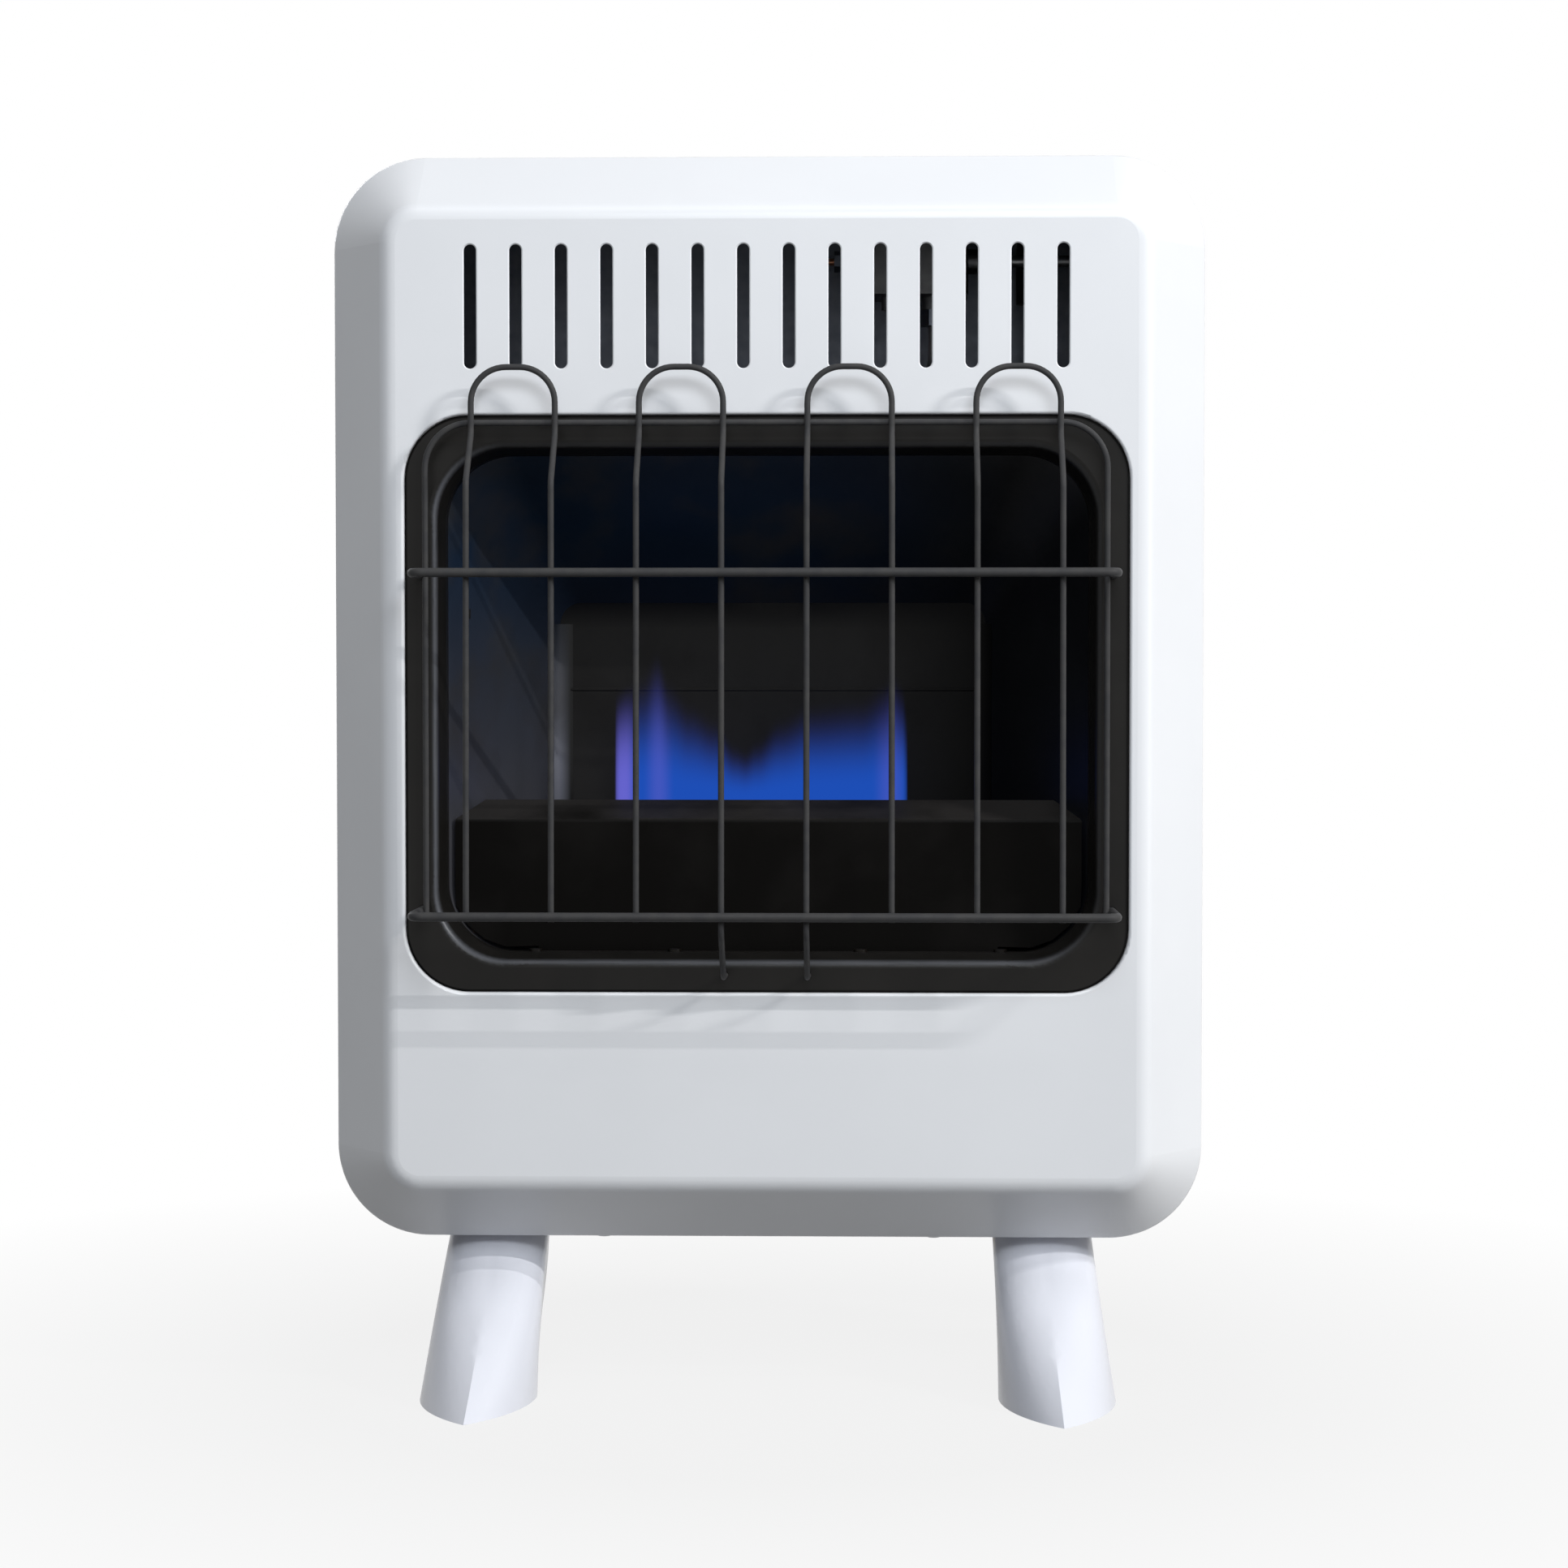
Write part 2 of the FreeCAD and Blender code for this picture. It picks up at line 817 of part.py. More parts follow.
# Control tray, valve and igniter
tray_x = size.case_width / 2 - size.rim_radius - size.tray_margin - size.tray_length / 2
tray_y = rim_y + size.tray_setback
tray_z = shell_top - size.tray_depth
tray_base = tray_z - size.tray_wall
valve_x = tray_x - size.knob_offset
valve_base = tray_base - size.valve_height
valve_right = valve_x + size.valve_length / 2
valve_left = valve_x - size.valve_length / 2
port_z = valve_base + size.port_rise
stem_base = tray_z - size.stem_depth
plunger_base = stem_base - size.plunger_length
igniter_x = tray_x + size.igniter_offset
igniter_y = tray_y + size.igniter_setback
igniter_base = tray_z - size.igniter_length
inlet_port_x = valve_x + size.inlet_port_offset
sensor_port_x = valve_x - size.sensor_port_offset
port_end = valve_base - size.boss_length

# Regulator above the gas inlet, at the rear of the floor
inlet_x = valve_x + size.inlet_shift
inlet_y = back_inner_y - size.regulator_gap - size.regulator_radius
regulator_top = (shell_floor + size.regulator_base_height + size.regulator_body_height
                 + size.regulator_cap_height)

# Lanes for tubes and leads, between the firebox and the back panel
lane_y = (spacer_y + back_inner_y) / 2
tube_lane_y = lane_y - size.lane_split
spark_lane_y = lane_y + size.lane_split
supply_x = (jet_end + shell_inner.width / 2) / 2

# Legs
leg_x = size.case_width / 2 - size.leg_inset
leg_top_y = skirt_y + size.leg_top_setback + size.leg_top_length / 2
leg_waist_y = leg_top_y / 2
leg_screw_places = [leg_top_y + way * (size.leg_screw_spacing / 2) for way in (-1, 1)]

# Places of the screws
bezel_screw_places = [share * (corner_x - size.bezel_screw_inset) for share in BEZEL_SCREW_SHARES]
bezel_screw_y = lip_y - size.collar_length / 2
panel_screw_places = [way * (size.panel_screw_spacing / 2) for way in (-1, 1)]
panel_screw_y = skirt_y - size.shell_lap / 2
back_screw_heights = [rim.middle + way * (size.back_screw_spacing / 2) for way in (-1, 1)]
back_screw_y = back_y - size.back_flange / 2
saddle_screws = [(x + size.saddle_wall + size.saddle_foot / 2, burner_y + way * (size.saddle_width / 4))
                 for x in saddle_places for way in (-1, 1)]
pilot_screw = (bracket_x + size.pilot_foot / 2, burner_y)
shield_screws = [(way * (corner_x - size.shield_screw_inset),
                  shield_y + size.shield_wall + size.shield_foot / 2)
                 for way in (-1, 1)]
screw_hole = size.screw_radius + size.screw_gap


def make_front_panel():
    # Deep-drawn panel: skirt, broad bevel, flat face with slots and a rolled opening
    body = new_body("front_panel")
    pad(body, draw_outline(front_sketch(body, rim_y), rim), size.panel_skirt, -1)
    outer = [draw_outline(front_sketch(body, rim_y), rim), draw_outline(front_sketch(body, face_y), face)]
    loft(body, "AdditiveLoft", outer)
    fillet(body, lies_on("Y", face_y), size.bevel_round)
    fillet(body, lies_on("Y", rim_y), size.rim_round)
    hollow(body, skirt_y, size.panel_wall)
    back_of_face = face_y + size.panel_wall
    pad(body, draw_outline(front_sketch(body, back_of_face), grown(opening, size.panel_wall)),
        size.opening_lip - size.panel_wall, -1)
    pocket(body, draw_outline(front_sketch(body, face_y), opening), size.opening_lip + size.overrun, -1)
    screws = front_screw_holes(body)
    pocket(body, screws, size.panel_wall + size.overrun, 1)
    slot = front_sketch(body, face_y)
    draw_slot(slot, -slot_span / 2, slot_middle, size.slot_width, size.slot_length)
    first = pocket(body, slot, size.panel_wall + size.overrun, -1)
    row_of(body, first, slot, "H_Axis", slot_span, "slot_count")
    fillet(body, opening_edge(face_y), size.opening_roll)
    fillet(body, slot_edge(face_y), size.slot_coin, "Chamfer")


def front_screw_holes(body):
    # Two holes in the bottom skirt
    sketch = plan_sketch(body, case_bottom)
    for x in panel_screw_places:
        draw_circle(sketch, x, panel_screw_y, screw_hole)
    return sketch


def opening_edge(y):
    on_face = lies_on("Y", y)

    def test(edge):
        box_of = edge.BoundBox
        inside = opening.width.value / 2 + TOUCH > max(abs(box_of.XMin), abs(box_of.XMax))
        return on_face(edge) and inside and box_of.ZMax < opening_top.value + TOUCH
    return test


def slot_edge(y):
    on_face = lies_on("Y", y)

    def test(edge):
        box_of = edge.BoundBox
        above = box_of.ZMin > opening_top.value + TOUCH
        return on_face(edge) and above and box_of.ZMax < slot_top.value + TOUCH
    return test


def make_cabinet_shell():
    # Sleeve behind the panel: tray cut-out on top, air inlets, screw holes and gas inlet below
    body = new_body("cabinet_shell")
    depth = back_y - shell_y
    pad(body, draw_outline(front_sketch(body, shell_y), shell), depth, -1)
    pocket(body, draw_outline(front_sketch(body, shell_y), shell_inner), depth + size.overrun, -1)
    through = size.shell_wall + size.overrun
    tray_hole = Outline(size.tray_length, size.tray_width, size.tray_radius, tray_y)
    recess = draw_outline(plan_sketch(body, shell_top), grown(tray_hole, size.slip_gap), tray_x)
    pocket(body, recess, through, -1)
    below = plan_sketch(body, shell_bottom)
    draw_circle(below, inlet_x, inlet_y, size.inlet_neck + size.slip_gap)
    for side in (-1, 1):
        for y in leg_screw_places:
            draw_circle(below, side * leg_x, y, size.leg_screw_radius + size.screw_gap)
    for x in panel_screw_places:
        draw_circle(below, x, panel_screw_y, screw_hole)
    pocket(body, below, through, 1)
    slots = plan_sketch(body, shell_bottom)
    span = size.inlet_slot_pitch * (COUNTS["inlet_slot_count"] - 1)
    draw_slot(slots, -span / 2 - size.inlet_slot_pitch, leg_top_y,
              size.inlet_slot_width, size.inlet_slot_length)
    first = pocket(body, slots, through, 1)
    row_of(body, first, slots, "H_Axis", span, "inlet_slot_count")
    sides = side_sketch(body, zero)
    for z in back_screw_heights:
        draw_circle(sides, back_screw_y, z, screw_hole)
    pocket(body, sides, size.case_width, 0)


def make_back_panel():
    # Shallow tray that closes the sleeve, with inlet rows, wall keyholes and firebox screw holes
    body = new_body("back_panel")
    pad(body, draw_outline(front_sketch(body, back_y), tray_plate), size.back_flange, 1)
    hollow = grown(tray_plate, -size.back_wall)
    pocket(body, draw_outline(front_sketch(body, back_inner_y), hollow), size.back_flange, 1)
    through = size.back_wall + size.overrun
    holes = front_sketch(body, back_y)
    for x in (-spacer_x, spacer_x):
        for z in spacer_heights:
            draw_circle(holes, x, z, screw_hole)
    for side in (-1, 1):
        draw_circle(holes, side * (size.keyhole_spacing / 2), keyhole_z, size.keyhole_radius)
    pocket(body, holes, through, 1)
    necks = front_sketch(body, back_y)
    for side in (-1, 1):
        draw_slot(necks, side * (size.keyhole_spacing / 2), keyhole_z + size.keyhole_length / 2,
                  2 * size.keyhole_neck, size.keyhole_length + 2 * size.keyhole_neck)
    pocket(body, necks, through, 1)
    span = size.inlet_slot_pitch * (COUNTS["inlet_slot_count"] - 1)
    for level in (0, 1):
        z = case_bottom + size.inlet_slot_rise + level * (size.inlet_slot_length + size.inlet_row_gap)
        slots = front_sketch(body, back_y)
        draw_slot(slots, -span / 2, z, size.inlet_slot_width, size.inlet_slot_length)
        first = pocket(body, slots, through, 1)
        row_of(body, first, slots, "H_Axis", span, "inlet_slot_count")
    sides = side_sketch(body, zero)
    for z in back_screw_heights:
        draw_circle(sides, back_screw_y, z, screw_hole)
    pocket(body, sides, size.case_width, 0)


keyhole_z = case_top - size.keyhole_drop


def make_bezel():
    # Funnel frame: skirt and flange in the panel's opening, slope to the throat, lip in the firebox collar
    body = new_body("bezel_frame")
    wall = size.bezel_wall
    pad(body, draw_outline(front_sketch(body, bezel_y), bezel), size.bezel_skirt, -1)
    hidden = draw_outline(front_sketch(body, bezel_y + wall), grown(bezel, -wall))
    pocket(body, hidden, size.bezel_skirt, -1)
    border_y = bezel_y + size.bezel_skirt
    pad(body, draw_outline(front_sketch(body, border_y), grown(bezel, size.bezel_border)), wall, 1)
    pocket(body, draw_outline(front_sketch(body, border_y), grown(bezel, -wall)), wall, 1)
    outer = [draw_outline(front_sketch(body, bezel_y), grown(crease, wall)),
             draw_outline(front_sketch(body, throat_y), grown(throat, wall))]
    loft(body, "AdditiveLoft", outer)
    pad(body, draw_outline(front_sketch(body, throat_y), grown(throat, wall)), size.bezel_lip, -1)
    fillet(body, inner_edge(bezel_y + wall, grown(bezel, -wall)), size.bezel_round - wall)
    inner = [draw_outline(front_sketch(body, bezel_y), crease),
             draw_outline(front_sketch(body, throat_y), throat)]
    loft(body, "SubtractiveLoft", inner)
    pocket(body, draw_outline(front_sketch(body, throat_y), throat), size.bezel_lip + size.overrun, -1)
    fillet(body, inner_edge(bezel_y, bezel), size.bezel_round)
    hooks = front_sketch(body, bezel_y)
    for z in (upper_rod_z, lower_rod_z):
        for side in (-1, 1):
            draw_circle(hooks, side * rod_x, z, size.rod_radius + size.slip_gap)
    for x in tail_places:
        draw_circle(hooks, x, tail_z, size.wire_radius + size.slip_gap)
    pocket(body, hooks, wall + size.overrun, -1)
    screws = plan_sketch(body, throat.middle - throat.height / 2)
    for x in bezel_screw_places:
        draw_circle(screws, x, bezel_screw_y, screw_hole)
    pocket(body, screws, wall + size.overrun, -1)


def inner_edge(y, limit):
    # Edges of a plane that lie well inside an outline and belong to no small hole
    on_plane = lies_on("Y", y)
    half_width = limit.width.value / 2 - TOUCH
    half_height = limit.height.value / 2 - TOUCH
    middle = limit.middle.value

    def test(edge):
        box_of = edge.BoundBox
        across = max(-box_of.XMin, box_of.XMax) < half_width
        along = max(middle - box_of.ZMin, box_of.ZMax - middle) < half_height
        return on_plane(edge) and across and along and box_of.DiagonalLength > 4 * size.rod_radius.value
    return test


# Guard: hairpins behind two rods, on a frame wire that stands off the panel
guard_pitch = 2 * (opening.width / 2 - size.rod_inset) * GUARD_PITCH_SHARE
rod_x = opening.width / 2 - size.rod_inset
upper_rod_z = opening_top - size.upper_rod_drop
lower_rod_z = opening_bottom + size.lower_rod_rise
kink_top = opening_top - size.kink_drop
kink_bottom = kink_top - size.kink_height
hook_y = bezel_y + size.bezel_wall + size.hook_length
tail_z = opening_bottom + size.bezel_gap + size.bezel_flange / 2
wire_places = [(place - (GUARD_WIRES - 1) / 2) * guard_pitch for place in range(GUARD_WIRES)]
tail_places = wire_places[GUARD_WIRES // 2 - 1:GUARD_WIRES // 2 + 1]


def guard_y(z):
    # Depth of the hairpins' long runs, which lean forward towards the bottom
    lean = size.guard_lean * (kink_bottom - z) / (kink_bottom - lower_rod_z)
    return face_y - size.guard_standoff - lean


def hairpin_leg(x, has_tail):
    # One leg from its lower end up to the loop
    loop_y = face_y - size.loop_standoff
    end_z = lower_rod_z - size.wire_overhang
    leg = [(x, guard_y(end_z), end_z)]
    if has_tail:
        bend_z = lower_rod_z - size.tail_drop
        leg = [(x, hook_y, tail_z), (x, face_y - size.tail_reach, tail_z), (x, guard_y(bend_z), bend_z)]
    return leg + [(x, guard_y(kink_bottom), kink_bottom), (x, loop_y, kink_top)]


def make_guard():
    pins = []
    loop_y = face_y - size.loop_standoff
    loop_z = opening_top + size.loop_rise
    for first in range(0, GUARD_WIRES, 2):
        legs = [hairpin_leg(x, x in tail_places) for x in wire_places[first:first + 2]]
        loop = [(x, loop_y, loop_z) for x in wire_places[first:first + 2]]
        route = legs[0] + loop + legs[1][::-1]
        bends = [size.kink_bend] * (len(legs[0]) - 1) + [size.loop_radius] * 2
        bends += [size.kink_bend] * (len(legs[1]) - 1)
        pin = doc.addObject("Part::Feature", "hairpin")
        pin.Shape = swept_rod(route, size.wire_radius, bends)
        pins.append(pin)
    group("guard_hairpins", pins)
    frame_y = loop_y + 2 * size.wire_radius - size.weld
    frame_x = rod_x - size.rod_radius - size.wire_radius + size.weld
    frame_z = opening_top - size.frame_drop
    frame_end = lower_rod_z - size.rod_radius
    route = [(-frame_x, frame_y, frame_end), (-frame_x, frame_y, frame_z),
             (frame_x, frame_y, frame_z), (frame_x, frame_y, frame_end)]
    bent_rod("guard_frame_wire", route, size.wire_radius, size.frame_radius)
    for label, z in (("guard_upper_rod", upper_rod_z), ("guard_lower_rod", lower_rod_z)):
        y = guard_y(z) - size.wire_radius - size.rod_radius + size.weld
        route = [(-rod_x, hook_y, z), (-rod_x, y, z), (rod_x, y, z), (rod_x, hook_y, z)]
        bent_rod(label, route, size.rod_radius, size.rod_bend)


def make_firebox():
    # Tapered surround with a collar, and the plate that closes it
    body = new_body("firebox_surround")
    wall = size.firebox_wall
    collar_y = lip_y - size.collar_length
    pad(body, draw_outline(front_sketch(body, collar_y), grown(collar, wall)), size.collar_length, -1)
    outer = [draw_outline(front_sketch(body, lip_y), grown(collar, wall)),
             draw_outline(front_sketch(body, hearth_y), grown(hearth, wall))]
    loft(body, "AdditiveLoft", outer)
    pocket(body, draw_outline(front_sketch(body, collar_y), collar), size.collar_length, -1)
    inner = [draw_outline(front_sketch(body, lip_y), collar),
             draw_outline(front_sketch(body, hearth_y), hearth)]
    loft(body, "SubtractiveLoft", inner)
    passage = side_sketch(body, taper_x)
    draw_circle(passage, burner_y, burner_z, size.throat_radius + size.throat_gap)
    pocket(body, passage, throat_x - taper_x + size.overrun, 1)
    below = plan_sketch(body, floor_z)
    for x in bezel_screw_places:
        draw_circle(below, x, bezel_screw_y, screw_hole)
    for x, y in saddle_screws + shield_screws + [pilot_screw]:
        draw_circle(below, x, y, screw_hole)
    lead_slot = Outline(pilot_x - spark_x + 2 * size.pilot_flange, 2 * size.pilot_flange,
                        size.pilot_radius, burner_y)
    pocket(body, below, wall + size.overrun, -1)
    leads = draw_outline(plan_sketch(body, floor_z + size.firebox_radius), lead_slot, sensor_x)
    pocket(body, leads, size.firebox_radius + wall + size.overrun, -1)

    back = new_body("firebox_back")
    pad(back, draw_outline(front_sketch(back, hearth_y), grown(hearth, size.back_border)), wall, -1)

    spacers = []
    for x in (-spacer_x, spacer_x):
        for z in spacer_heights:
            bush = cylinder((x, spacer_y, z), REAR, size.spacer_radius, back_inner_y - spacer_y)
            bore = cylinder((x, spacer_y, z), REAR, screw_hole, back_inner_y - spacer_y)
            spacers.append(cut(bush, [bore]))
    group("firebox_spacers", spacers)


def make_shield():
    # Bent plate: foot on the firebox floor, upright front and a lip that rises to the back
    body = new_body("burner_shield")
    wall = size.shield_wall
    lip_back = shield_y + size.shield_lip
    lip_top = shield_z + size.shield_lip_rise
    under_bend = shield_z + size.shield_lip_rise * wall / size.shield_lip - wall
    foot_back = shield_y + wall + size.shield_foot
    section = [(foot_back, floor_z), (shield_y, floor_z), (shield_y, shield_z), (lip_back, lip_top),
               (lip_back, lip_top - wall), (shield_y + wall, under_bend),
               (shield_y + wall, floor_z + wall), (foot_back, floor_z + wall)]
    half = cheek_x(shield_y) - size.shield_gap
    pad(body, draw_polygon(side_sketch(body, zero), section), 2 * half, 0)
    ends = plan_sketch(body, floor_z)
    far = shield_y + size.shield_lip + size.overrun
    narrow = half - (far - shield_y) * cheek_share
    for side in (-1, 1):
        draw_polygon(ends, [(side * half, shield_y), (side * (half + size.overrun), shield_y),
                            (side * (half + size.overrun), far), (side * narrow, far)])
    pocket(body, ends, size.shield_height + size.shield_lip_rise + size.overrun, 1)
    corners = front_sketch(body, shield_y)
    inset = corner_x - size.shield_notch
    clear = size.shield_wall + size.shield_gap
    radius = collar.radius - size.shield_gap
    for side in (-1, 1):
        arc = [(side * (corner_x + radius * math.sin(turn)),
                floor_z + collar.radius - radius * math.cos(turn))
               for turn in map(math.radians, SHIELD_TURNS)]
        draw_polygon(corners, [(side * inset, floor_z), (side * inset, floor_z + clear)] + arc
                     + [(side * half, floor_z + collar.radius), (side * half, floor_z)])
    pocket(body, corners, size.shield_lip + size.overrun, -1)
    holes = plan_sketch(body, floor_z)
    for x, y in shield_screws:
        draw_circle(holes, x, y, screw_hole)
    pocket(body, holes, wall + size.overrun, 1)

    def bend_line(edge):
        box_of = edge.BoundBox
        along = box_of.XLength > half.value
        low = abs(box_of.ZMin - shield_z.value) < TOUCH
        return along and low and abs(box_of.YMin - shield_y.value) < TOUCH
    fillet(body, bend_line, size.shield_bend)


def make_burner():
    # Round burner with a tapered throat and a flared mouth, ported along the top
    body = new_body("burner_tube")
    place(body, (zero, burner_y, burner_z))
    wall = size.burner_wall
    outside = [(burner_left, zero), (burner_left, size.burner_radius), (burner_right, size.burner_radius),
               (taper_x, size.throat_radius), (throat_x, size.throat_radius), (mouth_x, size.mouth_radius)]
    inside = [(mouth_x, size.mouth_radius - wall), (throat_x, size.throat_radius - wall),
              (taper_x, size.throat_radius - wall), (burner_right, size.burner_radius - wall),
              (burner_left + wall, size.burner_radius - wall), (burner_left + wall, zero)]
    section = draw_polygon(plan_sketch(body, zero), outside + inside)
    revolve(body, section, "H_Axis")
    ports = plan_sketch(body, zero)
    span = burner_right - burner_left - 2 * size.port_margin
    draw_slot(ports, burner_left + size.port_margin, zero, size.port_width, size.port_length)
    first = pocket(body, ports, size.burner_radius + size.overrun, 1)
    row_of(body, first, ports, "H_Axis", span, "port_count")

    saddles = []
    for x in saddle_places:
        height = burner_z - floor_z - size.burner_radius + size.saddle_wrap
        low = (x, burner_y - size.saddle_width / 2, floor_z)
        plate = box(low, (size.saddle_wall, size.saddle_width, height))
        foot = box((x, burner_y - size.saddle_width / 2, floor_z),
                   (size.saddle_wall + size.saddle_foot, size.saddle_width, size.saddle_wall))
        seat = cylinder((x - size.overrun, burner_y, burner_z), RIGHT, size.burner_radius + size.fit_gap,
                        size.saddle_wall + 2 * size.overrun)
        holes = [cylinder((hole_x, hole_y, floor_z - size.overrun), UP, screw_hole,
                          size.saddle_wall + 2 * size.overrun)
                 for hole_x, hole_y in saddle_screws]
        saddles.append(cut(fuse([plate, foot]), [seat] + holes))
    group("burner_saddles", saddles)


def make_jet():
    # Plate over the burner's mouth with air holes, and the brass jet through its middle
    disc = cylinder((mouth_x, burner_y, burner_z), RIGHT, size.mouth_radius, size.spider_wall)
    start = mouth_x - size.overrun
    depth = size.spider_wall + 2 * size.overrun
    holes = [cylinder((start, burner_y, burner_z), RIGHT, size.jet_radius + size.slip_gap, depth)]
    for number in range(SPIDER_HOLES):
        turn = 2 * math.pi * number / SPIDER_HOLES
        at = (start, burner_y + size.spider_circle * math.cos(turn),
              burner_z + size.spider_circle * math.sin(turn))
        holes.append(cylinder(at, RIGHT, size.spider_hole, depth))
    as_node(cut(disc, holes, "air_inlet_plate"))
    nose = cylinder((spider_x - size.jet_length, burner_y, burner_z), RIGHT,
                    size.jet_radius, size.jet_length)
    collar_of_jet = hexagon((spider_x, burner_y, burner_z), RIGHT, size.jet_hex, size.jet_hex_length)
    tail = cylinder((jet_x, burner_y, burner_z), RIGHT, size.jet_tail_radius, size.jet_tail)
    as_node(fuse([nose, collar_of_jet, tail], "injector"))


def make_pilot():
    # Bent bracket with a shelf that carries the pilot, the sensor and the spark electrode
    wall = size.pilot_wall
    low_y = burner_y - size.pilot_width / 2
    upright = box((bracket_x - wall, low_y, floor_z), (wall, size.pilot_width, shelf_z - floor_z))
    foot = box((bracket_x - wall, low_y, floor_z), (wall + size.pilot_foot, size.pilot_width, wall))
    shelf = box((shelf_end, low_y, shelf_z - wall), (bracket_x - shelf_end, size.pilot_width, wall))
    foot_hole = cylinder((*pilot_screw, floor_z - size.overrun), UP, screw_hole, wall + 2 * size.overrun)
    radii = ((pilot_x, size.pilot_radius), (sensor_x, size.sensor_radius), (spark_x, size.insulator_radius))
    holes = [cylinder((x, burner_y, shelf_z - wall - size.overrun), UP, radius + size.slip_gap,
                      wall + 2 * size.overrun) for x, radius in radii]
    as_node(cut(fuse([upright, foot, shelf]), [foot_hole] + holes, "pilot_bracket"))

    def flanged(x, radius, rise):
        stalk = cylinder((x, burner_y, shelf_z - size.pilot_reach), UP, radius, size.pilot_reach + rise)
        flange = cylinder((x, burner_y, shelf_z), UP, size.pilot_flange, size.pilot_flange_height)
        return [stalk, flange]

    as_node(fuse(flanged(pilot_x, size.pilot_radius, size.pilot_rise), "pilot_burner"))
    as_node(fuse(flanged(sensor_x, size.sensor_radius, size.sensor_rise), "thermocouple"))
    tip = cylinder((spark_x, burner_y, shelf_z + size.insulator_rise), UP,
                   size.spark_tip_radius, size.spark_tip)
    as_node(fuse(flanged(spark_x, size.insulator_radius, size.insulator_rise) + [tip], "spark_electrode"))


def make_tray():
    # Moulded recess in the top for the knob and the igniter button
    body = new_body("control_tray")
    rim_of_tray = Outline(size.tray_length, size.tray_width, size.tray_radius, tray_y)
    brim = draw_outline(plan_sketch(body, shell_top), grown(rim_of_tray, size.tray_brim), tray_x)
    pad(body, brim, size.tray_brim_height, 1)
    tub = draw_outline(plan_sketch(body, shell_top), rim_of_tray, tray_x)
    pad(body, tub, size.tray_depth + size.tray_wall, -1)
    hollow = draw_outline(plan_sketch(body, tray_z), grown(rim_of_tray, -size.tray_wall), tray_x)
    pocket(body, hollow, size.tray_depth + size.tray_brim_height + size.overrun, 1)
    fillet(body, lies_on("Z", tray_z), size.tray_wall)
    holes = plan_sketch(body, tray_base)
    draw_circle(holes, valve_x, tray_y, size.neck_radius + size.slip_gap)
    draw_circle(holes, igniter_x, igniter_y, size.igniter_radius + size.slip_gap)
    for x in valve_screw_places:
        draw_circle(holes, x, tray_y, screw_hole)
    pocket(body, holes, size.tray_wall + size.overrun, 1)


valve_screw_places = [valve_left + size.valve_screw_inset, valve_right - size.valve_screw_inset]


def make_valve():
    # Cast body under the tray, with its neck, ports and stem bore
    body = new_body("gas_valve")
    block = Outline(size.valve_length, size.valve_width, size.valve_radius, tray_y)
    pad(body, draw_outline(plan_sketch(body, valve_base), block, valve_x), size.valve_height, 1)
    neck = draw_circle(plan_sketch(body, tray_base), valve_x, tray_y, size.neck_radius)
    pad(body, neck, size.tray_wall + size.neck_rise, 1)
    below = plan_sketch(body, valve_base)
    draw_circle(below, inlet_port_x, tray_y, size.inlet_tube_radius + size.boss_wall)
    draw_circle(below, sensor_port_x, tray_y, size.sensor_lead_radius + size.boss_wall)
    pad(body, below, size.boss_length, -1)
    right = draw_circle(side_sketch(body, valve_right), tray_y, port_z,
                        size.supply_tube_radius + size.boss_wall)
    pad(body, right, size.boss_length, 1)
    left = draw_circle(side_sketch(body, valve_left), tray_y, port_z,
                       size.pilot_tube_radius + size.boss_wall)
    pad(body, left, size.boss_length, -1)
    stop = size.knob_travel + size.slip_gap
    bore = draw_circle(plan_sketch(body, stem_base - stop), valve_x, tray_y,
                       size.stem_radius + size.fit_gap)
    pocket(body, bore, size.valve_height + size.overrun, 1)
    deep = draw_circle(plan_sketch(body, plunger_base - stop), valve_x, tray_y,
                       size.plunger_radius + size.fit_gap)
    pocket(body, deep, size.plunger_length + stop, 1)
    holes = plan_sketch(body, tray_base)
    for x in valve_screw_places:
        draw_circle(holes, x, tray_y, screw_hole)
    pocket(body, holes, size.screw_length, -1)

    plunger = cylinder((valve_x, tray_y, plunger_base), UP, size.plunger_radius, size.plunger_length)
    plunger.Label = "safety_plunger"
    as_node(plunger)
    stem = cylinder((valve_x, tray_y, stem_base), UP, size.stem_radius, size.stem_depth + size.stem_rise)
    stem.Label = "valve_stem"
    as_node(stem)


def make_knob():
    # Skirted knob with a grip bar, hollow below, on the stem's end
    body = new_body("control_knob")
    place(body, (valve_x, tray_y, tray_z))
    low = plan_sketch(body, size.knob_lift)
    pad(body, draw_circle(low, zero, zero, size.knob_radius), size.knob_skirt, 1)
    grip_z = size.knob_lift + size.knob_skirt
    grip_length = 2 * size.knob_radius - size.knob_wall
    grip = draw_slot(plan_sketch(body, grip_z), zero, zero, size.knob_grip, grip_length)
    pad(body, grip, size.knob_height - size.knob_skirt, 1)
    top = size.knob_lift + size.knob_height
    fillet(body, lies_on("Z", top), size.knob_round)
    fillet(body, skirt_edge(grip_z), size.knob_round)
    hollow = draw_circle(plan_sketch(body, size.knob_lift), zero, zero, size.knob_radius - size.knob_wall)
    pocket(body, hollow, size.knob_recess, 1)
    bore = draw_circle(plan_sketch(body, size.knob_lift), zero, zero, size.stem_radius + size.fit_gap)
    pocket(body, bore, size.stem_rise + size.fit_gap - size.knob_lift, 1)


def skirt_edge(z):
    on_plane = lies_on("Z", z)

    def test(edge):
        return on_plane(edge) and edge.BoundBox.XLength > 2 * size.knob_radius.value - TOUCH
    return test


